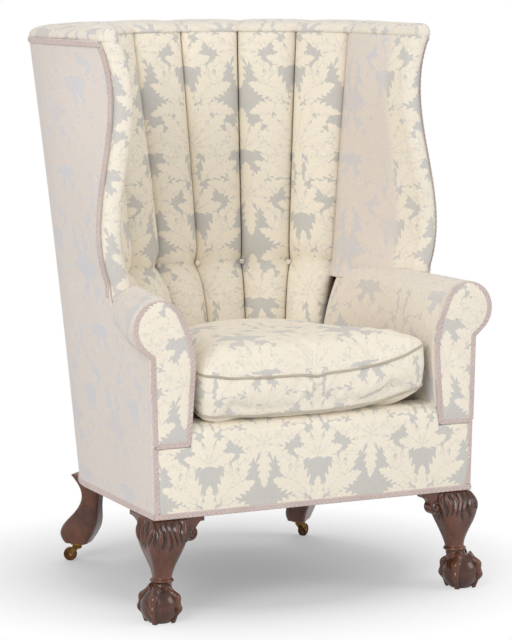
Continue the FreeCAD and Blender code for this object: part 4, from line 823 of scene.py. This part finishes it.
# outside cover in one skin: sides up to the arms, wings and back, stretched from edge to edge
outer = {
    "wall": 0.004, "slack": 1.2, "front": 0.5, "rows": (64, 56), "cols": (45, 70, 101), "blend": (520, 130),
    "armY": (0.5, 60, 110, 150, 172, 187), "armZ": (520, 525, 538, 562, 590, 622),
}


def wingSide(z, t):
    # x of the wing's outside, bowed in plan so that it runs smoothly into the back
    half = outerPlan(z)[0]
    return lerp(wingX(z), half, t + wing["bow"] * t * (1 - t))


def coverRows(right, z):
    # right-hand columns, the back's arch and the same columns on the left; u runs round the chair
    share = np.linspace(0, 1, outer["cols"][2])[None, :]
    start = outerPlan(z)[1]
    back = arch(z + 0 * share, share + 0 * z)
    bend = np.concatenate([0 * z, np.cumsum(np.linalg.norm(np.diff(back, axis=1), axis=-1), 1)], 1)
    points = np.concatenate([right, back[:, 1:-1], flip(right)[:, ::-1]], 1)
    side = right[..., 1]
    u = np.concatenate([side, (start + bend)[:, 1:-1], (2 * start + bend[:, -1:] - side)[:, ::-1]], 1)
    return gridMesh("outside_cover", points, clothUv(points, False, u / 1000), wearAndShade=1.0)


t = np.linspace(0, 1, outer["cols"][1])[None, :]
joinZ = wingFoot - 2
joinY = float(wingY(joinZ)) + nose
rise = np.linspace(joinZ, crest - 1, outer["rows"][1])[:, None]
upper = stack(wingSide(rise, t), lerp(wingY(rise) + nose, outerPlan(rise)[1], t), rise)
upperMesh = coverRows(upper, rise)
ahead = np.linspace(outer["front"], joinY, outer["cols"][0], endpoint=False)[None, :]
ceiling = np.interp(ahead, outer["armY"], outer["armZ"])  # under the roll of the arm
share = np.linspace(0, 1, outer["rows"][0])[:, None]
level = lerp(hem, joinZ, share)
rise = np.concatenate([lerp(hem, ceiling, share), level + 0 * t], 1)
half, start = outerPlan(rise)[:2]
yy = np.concatenate([ahead + 0 * share, lerp(joinY, outerPlan(level)[1], t)], 1)
along = (yy - outer["front"]) / (start - outer["front"])
flat = lerp(frontX(np.minimum(rise, shell["neck"])), half, along)
wingT = np.clip((yy - joinY) / (start - joinY), 0, 1)
blend = smooth(rise, outer["blend"][0], joinZ) * smooth(yy, outer["blend"][1], joinY)
sideX = lerp(flat, wingSide(joinZ + 0 * rise, wingT), blend)
sideX = sideX - outer["slack"] * np.sin(np.pi * along) * np.sin(np.pi * share)
lowerMesh = coverRows(stack(sideX, yy, rise), level)
mesh = joined("outside_cover", (lowerMesh, upperMesh))
middles, looks = np.zeros(len(mesh.polygons) * 3), np.zeros(len(mesh.polygons) * 3)
mesh.polygons.foreach_get("center", middles)
mesh.polygons.foreach_get("normal", looks)
if looks.reshape(-1, 3)[np.argmax(middles.reshape(-1, 3)[:, 1]), 1] < 0:
    mesh.flip_normals()
piece = newObject("outside_cover", mesh)
wall = piece.modifiers.new("thickness", "SOLIDIFY")
wall.thickness, wall.offset = outer["wall"], -1
covered = ["outside_%s_%s" % (stem, side) for stem in ("arm", "wing") for side in ("left", "right")]
dress(piece, "chair", "damask", damask, "outside_back", *covered)
print("outside cover made")

# gimp: a flat braid of two crossing strands, carried along a path with its outward direction
gimp = {
    "half": 6.0, "inset": 4.2, "thick": 2.6, "period": 10.0, "step": 1.7, "across": 11, "foot": (0.7, 0.15),
    "strand": (0.62, 0.27), "rim": (0.88, 0.12), "wave": 0.07,  # shares of the half width
}


def braidStrip(path, out, closed=False):
    # height over the strip: the higher of two strands that cross once a half period, edges scalloped
    if closed:
        path, out = np.vstack([path, path[:1]]), np.vstack([out, out[:1]])
    reach = pathLength(path)
    even = np.linspace(0, reach[-1], max(8, int(reach[-1] / gimp["step"])))
    spot, outward = sampled(path, reach, even), sampled(out, reach, even)
    ahead = np.gradient(spot, axis=0)
    ahead /= np.linalg.norm(ahead, axis=1)[:, None]
    outward -= (outward * ahead).sum(1)[:, None] * ahead
    outward /= np.linalg.norm(outward, axis=1)[:, None]
    aside = np.cross(ahead, outward)
    phase = even[:, None] * (math.pi / gimp["period"])
    w = np.linspace(-1, 1, gimp["across"])[None, :]
    swing, thin = gimp["strand"]
    strandA = np.exp(-((w - swing * np.sin(phase)) / thin) ** 2) * (0.7 + 0.3 * np.cos(phase))
    strandB = np.exp(-((w + swing * np.sin(phase)) / thin) ** 2) * (0.7 - 0.3 * np.cos(phase))
    edge, thin = gimp["rim"]
    rim = np.exp(-((np.abs(w) - edge) / thin) ** 2) * (0.75 + 0.25 * np.cos(6 * phase))
    crown = np.maximum(np.maximum(strandA, strandB), 0.8 * rim) * np.clip((1 - np.abs(w)) / 0.06, 0, 1)
    foot, under = gimp["foot"]
    rise = foot + gimp["thick"] * crown
    wide = gimp["half"] * (1 - gimp["wave"] + gimp["wave"] * np.abs(np.sin(phase)))
    backing = wide * np.array([[0.9, 0.0, -0.9]])
    top = spot[:, None] + aside[:, None] * (wide * w)[..., None] + outward[:, None] * rise[..., None]
    low = spot[:, None] + aside[:, None] * backing[..., None] + outward[:, None] * under
    return np.concatenate([top, low], 1), not closed


def braidPiece(name, strips, *replaced):
    parts = [gridMesh(name, strip, clothUv(strip, True), True, capped) for strip, capped in strips]
    return dress(newObject(name, joined(name, parts)), "chair", "gimp", braid, *replaced)


def oneWay(path, way):
    return np.broadcast_to(np.array(way, float), path.shape)


def outwardPlan(points):
    # level direction away from a path seen from above, on the outside of the chair
    ahead = np.gradient(points, axis=0)
    ahead[:, 2] = 0
    out = np.cross(ahead, np.array([0, 0, 1.0]))
    return out / np.maximum(np.linalg.norm(out, axis=1), 1e-9)[:, None]


share = np.linspace(0, 1, 200)
sideRun = np.linspace(0, 1, 60)[:, None]
crestZ = crest - 1 - gimp["half"]
start = float(outerPlan(np.array(crestZ))[1])
archLine = arch(np.full_like(share, crestZ), share)
run = sideRun[:-1, 0]
rightRun = stack(wingSide(crestZ + 0 * run, run), lerp(wingY(crestZ) + nose, start, run), crestZ)
hoop = np.concatenate([rightRun, archLine, flip(rightRun)[::-1]])
edgeZ = np.linspace(wingFoot - 24, crestZ - gimp["half"], 130)
heldZ = np.maximum(edgeZ, joinZ)
edgeT = gimp["inset"] / (outerPlan(heldZ)[1] - wingY(heldZ) - nose)
wingLine = stack(wingSide(heldZ, edgeT) + 0.2, wingY(heldZ) + nose + gimp["inset"], edgeZ)
wingOut = oneWay(wingLine, (1, -0.25, 0))
strips = [braidStrip(hoop, outwardPlan(hoop)), braidStrip(wingLine, wingOut)]
strips.append(braidStrip(flip(wingLine), flip(wingOut)))
braidPiece("edge_braid", strips, "edge_gimp")
hemZ = hem + gimp["half"]
archLine = arch(np.full_like(share, hemZ), share)
corner = np.array([frontX(hemZ), -0.5, hemZ])
rightRun = lerp(corner, archLine[0], sideRun)[:-1]
frontRun = lerp(flip(corner), corner, np.linspace(0, 1, 80)[:, None])
hoop = np.concatenate([rightRun, archLine, flip(rightRun)[::-1]])
forward = (0, -1, 0)
strips = [braidStrip(hoop, outwardPlan(hoop)), braidStrip(frontRun - [0, 0.5, 0], oneWay(frontRun, forward))]
braidPiece("hem_braid", strips, "hem_gimp")
ring = scrollLine(gimp["half"], facing["foot"] + gimp["half"], 400)
ringPath = stack(ring[:, 0], facing["rim"] - 2.2, ring[:, 1])
runZ = np.linspace(hem + 12, facing["foot"] + 2, 50)
cornerRun = stack(frontX(runZ) - gimp["half"] - 0.5, -0.6, runZ)
ringOut, cornerOut = oneWay(ringPath, forward), oneWay(cornerRun, forward)
strips = [braidStrip(ringPath, ringOut, True), braidStrip(cornerRun, cornerOut)]
strips += [braidStrip(flip(ringPath), ringOut, True), braidStrip(flip(cornerRun), cornerOut)]
braidPiece("facing_braid", strips, "facing_gimp")
print("braid made")

# loose cushion: the CAD solid, remeshed, blown up a little as cloth, then settled over the border
cushion = {
    "voxel": 0.0055, "pressure": 4.0, "tension": 18, "bending": 1.5, "frames": 20, "cap": 0.012,
    "half": 257.0, "droop": -20.0, "lift": (-4.0, 34.0), "face": 0.48, "wearAndShade": 0.12,
    # the sitter's dent: depth, middle and spread in x, middle and spread in y, lowest level
    "dent": (-7.0, -20.0, 150.0, 230.0, 120.0, 0.45),
    # wrinkles: height, wave in x and y, then as for the dent
    "wrinkles": (
        (1.6, 9.0, 21.0, -190.0, 60.0, 90.0, 90.0, 0.46),
        (1.3, 14.0, -10.0, 150.0, 90.0, 60.0, 60.0, 0.46)),
}


def settle(points):
    # front edge sags in the middle over the border, the right front corner stands up, then dent and wrinkles
    x, y, z = points[:, 0] * 1000, points[:, 1] * 1000 - rowY, points[:, 2]
    front = np.clip(1 - (y + 20) / 260, 0, 1) ** 1.6
    along = x / cushion["half"]
    side = np.where(along > 0, cushion["lift"][1], cushion["lift"][0]) * np.abs(along) ** 2.2
    shift = (side + cushion["droop"] * (1 - along ** 2) * np.clip(1 - (y + 20) / 60, 0, 1)) * front

    def near(spotX, spanX, spotY, spanY, level):
        return np.exp(-((x - spotX) / spanX) ** 2 - ((y - spotY) / spanY) ** 2) * (z > level)
    depth, *where = cushion["dent"]
    shift = shift + depth * near(*where)
    for height, waveX, waveY, *where in cushion["wrinkles"]:
        shift = shift + height * np.sin(x / waveX + y / waveY) * near(*where)
    moved = points.copy()
    moved[:, 2] = z + shift / 1000
    return moved


def meshPoints(mesh):
    flat = np.zeros(len(mesh.vertices) * 3)
    mesh.vertices.foreach_get("co", flat)
    return flat.reshape(-1, 3)


def skinNormals(skin):
    flat = np.zeros(len(skin.vertices) * 3)
    skin.vertices.foreach_get("normal", flat)
    return flat.reshape(-1, 3)


def remeshed(mesh, name, voxel):
    # the mesh, merged, under an even voxel skin
    cleanUp(mesh)
    piece = newObject(name, mesh)
    remesh = piece.modifiers.new("even skin", "REMESH")
    remesh.mode, remesh.voxel_size = "VOXEL", voxel
    skin = bpy.data.meshes.new_from_object(piece.evaluated_get(bpy.context.evaluated_depsgraph_get()))
    bpy.data.objects.remove(piece)
    skin.name = name
    return skin


skin = remeshed(nodes["seat_cushion"].data.copy(), "seat_cushion_cloth", cushion["voxel"])
base = meshPoints(skin)
bag = newObject("cushion_bag", skin)
cloth = bag.modifiers.new("cloth", "CLOTH")
cloth.settings.use_pressure = True
cloth.settings.uniform_pressure_force = cushion["pressure"]
cloth.settings.tension_stiffness = cushion["tension"]
cloth.settings.bending_stiffness = cushion["bending"]
cloth.settings.effector_weights.gravity = 0
for step in range(1, cushion["frames"] + 1):
    scene.frame_set(step)
blown = bpy.data.meshes.new_from_object(bag.evaluated_get(bpy.context.evaluated_depsgraph_get()))
grown = meshPoints(blown)
scene.frame_set(1)
bpy.data.objects.remove(bag)
move = grown - base
size = np.linalg.norm(move, axis=1)[:, None]
base = base + move * np.minimum(1, cushion["cap"] / np.maximum(size, 1e-9))
bpy.data.meshes.remove(blown)
base = settle(base)
skin.vertices.foreach_set("co", base.ravel())
layer = skin.uv_layers.new(name="cloth")
picks = np.zeros(len(skin.loops), int)
skin.loops.foreach_get("vertex_index", picks)
upward = np.abs(skinNormals(skin)[:, 2])
sideV = base[:, 2] - cushion["face"] + base[:, 1].min()
cushionUv = np.stack([base[:, 0], np.where(upward > 0.5, base[:, 1], sideV)], 1)
layer.data.foreach_set("uv", cushionUv[picks].ravel())
fade = np.full(len(base), cushion["wearAndShade"])
skin.attributes.new("wearAndShade", "FLOAT", "POINT").data.foreach_set("value", fade)
skin.polygons.foreach_set("use_smooth", np.ones(len(skin.polygons), bool))
skin.update()
cushionPiece = newObject("seat_cushion_cloth", skin)
extra = cushionPiece.modifiers.new("softer", "SUBSURF")
extra.levels = extra.render_levels = 1
dress(cushionPiece, "cushion", "damask", damask, "seat_cushion")
print("cushion made")

# cord round the cushion's two edges, laid on the cloth
cord = {
    "radius": 2.7, "around": 10, "levels": (393.0, 477.0), "stand": 0.8, "rounds": (6, 12),
    "front": (254, -5), "rear": (188, 349), "frontBow": (0, -11), "sideBow": (226, 172), "rearBow": (0, 451),
}
outs = skinNormals(skin)


def threePoint(a, m, b, count=60):
    # parabola from a through m, half way, to b
    a, m, b = (np.array(p, float) for p in (a, m, b))
    t = np.linspace(0, 1, count, endpoint=False)[:, None]
    return (1 - t) ** 2 * a + 2 * t * (1 - t) * (2 * m - 0.5 * (a + b)) + t * t * b


def eased(loop, rounds):
    # each point moves a half of the way to the middle of its neighbours, round after round
    for _ in range(rounds):
        loop = (np.roll(loop, 1, 0) + loop * 2 + np.roll(loop, -1, 0)) / 4
    return loop


def cushionLine(z, count=420):
    # outline of the cushion: bowed front, drawn-in sides, round back
    front, rear, bow = cord["front"], cord["rear"], cord["sideBow"]
    farFront, farRear, farBow = ((-x, y) for x, y in (front, rear, bow))
    line = np.concatenate([
        threePoint(farFront, cord["frontBow"], front), threePoint(front, bow, rear),
        threePoint(rear, cord["rearBow"], farRear), threePoint(farRear, farBow, farFront)])
    line = eased(line, cord["rounds"][0])
    line = np.vstack([line, line[:1]])
    reach = pathLength(line)
    flat = sampled(line, reach, np.linspace(0, reach[-1], count, endpoint=False))
    return stack(flat[:, 0], flat[:, 1], z)


loops = []
spin = np.linspace(0, 2 * math.pi, cord["around"], endpoint=False)[None, :, None]
for z in cord["levels"]:
    row = settle((cushionLine(z) + [0, rowY, 0]) / 1000)
    # nearest point of the cloth: least |p|^2 - 2 p.q
    near = np.argmin((base ** 2).sum(1)[None, :] - 2 * row @ base.T, axis=1)
    row, out = (eased(loop[near], cord["rounds"][1]) for loop in (base, outs))
    out = out / np.linalg.norm(out, axis=1)[:, None]
    row = row * 1000 - [0, rowY, 0] + out * cord["stand"]
    ahead = np.roll(row, -1, 0) - np.roll(row, 1, 0)
    ahead /= np.linalg.norm(ahead, axis=1)[:, None]
    up = np.cross(ahead, out)
    up /= np.linalg.norm(up, axis=1)[:, None]
    level = np.cross(up, ahead)
    ring = np.cos(spin) * level[:, None] + np.sin(spin) * up[:, None]
    tube = row[:, None] + cord["radius"] * ring
    loops.append(np.concatenate([tube, tube[:1]]))
parts = [gridMesh("cord", tube, clothUv(tube, True), True) for tube in loops]
piece = newObject("cushion_cord", joined("cushion_cord", parts))
dress(piece, "cushion", "piping", welt, "cushion_piping")

# carved front legs: the CAD leg with locks of hair on the knee, a ring at the ankle and knuckled claws
carving = {
    "voxel": 0.0015, "depth": 2.7, "strands": 23, "fringe": 152.0, "ball": (335.0, 10.0, 32.0), "skin": 38.0,
    "levels": (34, 80, 160, 200), "midX": (335, 326, 318, 313), "midY": (10, 19, 28, 37),
    "hairTop": (194, 199), "clawTop": (66, 76), "knuckle": (1.2, 1.7, 52.0, 25.0),  # mean, swing, level, period
    "ring": (1.8, 79.0, 3.0), "shadeUnderRing": (0.5, 73.0, 2.5),  # height, level and spread; the line below the ring is painted shade only, its height a strength of shade
}


def carved(skin, points, recessShade, replaced):
    # writes the carved points back and keeps how deep each lies in the carving, as an amount of painted shade
    place = (points + [0, rowY, 0]) / 1000
    skin.vertices.foreach_set("co", place.ravel())
    skin.attributes.new("recessShade", "FLOAT", "POINT").data.foreach_set("value", np.clip(recessShade, 0, 1))
    skin.polygons.foreach_set("use_smooth", np.ones(len(skin.polygons), bool))
    skin.update()
    return dress(newObject(skin.name, skin), "chair", "carved_wood", darkWood, replaced)


def bump(z, height, level, spread):
    return height * np.exp(-((z - level) / spread) ** 2)


def carveLeg(side, sign):
    # moves each point of the skin along its normal by the sum of the cuts
    skin = remeshed(nodes["front_leg_" + side].data.copy(), "carved_leg_" + side, carving["voxel"])
    points = meshPoints(skin) * 1000 - [0, rowY, 0]
    x, y, z = points[:, 0] * sign, points[:, 1], points[:, 2]
    midX, midY = (np.interp(z, carving["levels"], carving[k]) for k in ("midX", "midY"))
    sweep = (np.arctan2(y - midY, x - midX) + math.pi / 4 + math.pi) % (2 * math.pi) - math.pi
    # locks: wavy strands over the sweep round the knee, ending in a ragged fringe
    wave = 2.0 * np.sin(z / 9.0 + 4 * np.abs(sweep)) + 0.08 * (z - 150) * np.sign(sweep)
    strand = np.cos(carving["strands"] * sweep + wave)
    fringe = carving["fringe"] + 6 * np.cos(5 * sweep) + 6 * strand
    hair = smooth(z - fringe, -3, 3) * (1 - smooth(z, *carving["hairTop"]))
    lock = 0.5 + 0.5 * np.cos((z - 128) / 8.0 + 2.2 * np.abs(sweep))
    cut = carving["depth"] * hair * (0.25 + 0.65 * strand + 0.35 * (strand > 0) * lock)
    cut = cut + bump(z, *carving["ring"])
    # knuckles where the claws stand off the ball, a groove along their edge
    off = np.linalg.norm(np.stack([x, y, z], 1) - carving["ball"], axis=1) - carving["skin"]
    claw = smooth(off, 0.6, 3.5) * (1 - smooth(z, *carving["clawTop"]))
    groove = bump(off, 1.0, 0.5, 0.9) * (z < carving["clawTop"][0])
    mean, swing, level, period = carving["knuckle"]
    cut = cut + claw * (mean + swing * np.cos((z - level) * (2 * math.pi / period))) - groove
    points = points + skinNormals(skin) * cut[:, None]
    points[:, 2] = np.maximum(points[:, 2], 0)
    # painted shade in the troughs of the locks, the grooves of the claws and below the ankle ring
    recessShade = hair * smooth(-strand, -0.1, 0.8) * 0.9 + groove * 0.55 + bump(z, *carving["shadeUnderRing"])
    carved(skin, points, recessShade, "front_leg_" + side)


for side, sign in sides:
    carveLeg(side, sign)

# knee brackets: a flat cap over a volute beside the knee
scroll = {
    "voxel": 0.0013, "thick": 26.0, "cap": 9.0, "volute": (27.0, 169.0, 15.5), "turn": (38, -165),
    "root": 4.0, "pitch": 7.5, "depth": 1.4, "dome": 3.0,
}
bracketRuns = {"front": (58.0, 300.45, 2.0), "side": (78.0, 45.55, 347.0)}


def bracketOutline(length):
    # (run from the knee, height), round the volute from its outer shoulder to the knee
    run, z, r = scroll["volute"]
    top = hem - 0.3
    turn = np.radians(np.linspace(*scroll["turn"], 40))
    shoulder = np.linspace(0, 1, 12)[:, None]
    start = np.array([run + r * math.cos(turn[0]), z + r * math.sin(turn[0])])
    bend = np.array([run + r * 1.25, top - scroll["cap"] - 3])
    end = np.array([length - 8, top - scroll["cap"]])
    cove = (1 - shoulder) ** 2 * end + 2 * shoulder * (1 - shoulder) * bend + shoulder ** 2 * start
    volute = np.stack([run + r * np.cos(turn), z + r * np.sin(turn)], 1)
    root = -scroll["root"]
    cap = [[root, top], [length, top], [length, top - scroll["cap"]]]
    return np.concatenate([cap, cove[:-1], volute, [[root, z - 6]]])


def bracketBlock(kind, sign):
    length, start, face = bracketRuns[kind]
    run, z = bracketOutline(length).T
    depth = np.array([[0.0], [scroll["thick"]]])
    if kind == "front":
        points = stack(sign * (start - run), face + depth, z)
    else:
        points = stack(sign * (face - depth), start + run, z)
    return gridMesh("bracket", points, clothUv(points, True), True, True)


blocks = joined("bracket_blocks", [bracketBlock(kind, sign) for sign in (1, -1) for kind in bracketRuns])
skin = remeshed(blocks, "carved_brackets", scroll["voxel"])
points = meshPoints(skin) * 1000 - [0, rowY, 0]
normals = skinNormals(skin)
x, y, z = np.abs(points[:, 0]), points[:, 1], points[:, 2]
cut, recessShade = np.zeros(len(points)), np.zeros(len(points))
run, level, r0 = scroll["volute"]
# the scroll's ridge lies where r / pitch less the turn round the volute is whole
carvedFaces = (
    (bracketRuns["front"][1] - x, -normals[:, 1]), (y - bracketRuns["side"][1], np.abs(normals[:, 0])))
for across, look in carvedFaces:
    du, dv = across - run, z - level
    r = np.hypot(du, dv)
    within = (1 - smooth(r, r0 - 2, r0 + 1)) * smooth(look, 0.6, 0.9)
    ridge = np.cos(2 * math.pi * (r / scroll["pitch"]) - np.arctan2(dv, du))
    cut = cut + within * (scroll["depth"] * ridge * smooth(r, 1.5, 5) + scroll["dome"] * (1 - (r / r0) ** 2))
    # painted shade in the troughs of the scroll
    recessShade = recessShade + within * smooth(-ridge, 0.0, 0.9) * 0.9 * smooth(r, 1.5, 4)
carved(skin, points + normals * cut[:, None], recessShade, "knee_brackets")

# rear legs: the CAD leg, its outer edge swept out to the corner under the hem
rear = {
    "voxel": 0.003, "sweep": 14.0, "outward": (0.894, 0.447), "swept": (70, 140), "top": 199.5,
    "bins": 40, "foot": 40.0, "tall": 160.0,
}
for side, sign in sides:
    skin = remeshed(nodes["rear_leg_" + side].data.copy(), "swept_leg_" + side, rear["voxel"])
    points = meshPoints(skin) * 1000 - [0, rowY, 0]
    reach = points[:, 0] * sign * rear["outward"][0] + points[:, 1] * rear["outward"][1]
    z = points[:, 2]
    # share of the leg's width at each level, from its inner to its outer edge
    level = np.clip((z - rear["foot"]) / rear["tall"], 0, 1)
    bins = (level * rear["bins"]).astype(int)
    low, high = np.full(rear["bins"] + 1, np.inf), np.full(rear["bins"] + 1, -np.inf)
    np.minimum.at(low, bins, reach)
    np.maximum.at(high, bins, reach)
    share = (reach - low[bins]) / np.maximum(high[bins] - low[bins], 1)
    shift = rear["sweep"] * smooth(z, *rear["swept"]) * share * (z < rear["top"])
    points[:, 0] += sign * rear["outward"][0] * shift
    points[:, 1] += rear["outward"][1] * shift
    carved(skin, points, 0 * z, "rear_leg_" + side)
print("legs carved")

# floor, lights and camera
stageLook = {"floor": (0.86, 0.86, 0.87, 1), "world": 0.55, "fade": (0.34, 0.34), "glow": 0.24}
floorMesh = bpy.data.meshes.new("floor")
floorMesh.from_pydata([(-9, -9, 0), (9, -9, 0), (9, 9, 0), (-9, 9, 0)], [], [(0, 1, 2, 3)])
floor = newObject("floor", floorMesh)
material, root = startMaterial("pale floor")
diffuse = root.node("ShaderNodeBsdfDiffuse", None, {"Color": stageLook["floor"]})
glow = root.node("ShaderNodeEmission", None, {"Color": (1, 1, 1, 1), "Strength": 1.0})
seen = root.node("ShaderNodeLightPath")
place = root.node("ShaderNodeTexCoord", pick=3)
far = root.node("ShaderNodeVectorMath", {"operation": "LENGTH"}, {0: place}, pick=1)
fade = (far - stageLook["fade"][0]).mask(stageLook["fade"][1], 0.0)
white = seen * (stageLook["glow"] + (1 - stageLook["glow"]) * fade)
blend = root.node("ShaderNodeMixShader", None, {0: white, 1: diffuse, 2: glow})
root.node("ShaderNodeOutputMaterial", None, {"Surface": blend})
floorMesh.materials.append(material)

world = bpy.data.worlds.new("studio")
world.use_nodes = True
world.node_tree.nodes.clear()
scene.world = world
root = Socket(world.node_tree)
path = root.node("ShaderNodeLightPath")
strength = path * (1 - stageLook["world"]) + stageLook["world"]
sky = root.node("ShaderNodeBackground", None, {"Color": (1, 1, 1, 1), "Strength": strength})
root.node("ShaderNodeOutputWorld", None, {"Surface": sky})


def softLight(name, spot, target, size, power):
    lamp = bpy.data.lights.new(name, "AREA")
    lamp.shape, lamp.size, lamp.energy = "SQUARE", size, power
    holder = newObject(name, lamp)
    holder.location = spot
    holder.rotation_euler = (Vector(target) - Vector(spot)).to_track_quat("-Z", "Y").to_euler()


seatMiddle = (0, 0, 0.6)
softLight("key", (-3.5, -3.2, 2.9), seatMiddle, 2.6, 100)
softLight("fill", (3.4, -2.8, 2.4), seatMiddle, 2.4, 42)
softLight("above", (0.2, 0.8, 4.2), seatMiddle, 2.6, 20)

# place from the face of the border, tilt and turn of the camera that took the photograph
cameraLook = {
    "place": (-2.5515, -4.8327, 1.3071), "tilt": 82.276, "turn": -26.585, "lens": 159.47, "sensor": 36,
}
view = bpy.data.cameras.new("photo view")
view.sensor_width, view.lens = cameraLook["sensor"], cameraLook["lens"]
view.clip_end = 60
viewer = newObject("photo view", view)
viewer.location = Vector(cameraLook["place"]) + Vector((0, rowY / 1000, 0))
viewer.rotation_euler = (math.radians(cameraLook["tilt"]), 0, math.radians(cameraLook["turn"]))
scene.camera = viewer
print("stage made")
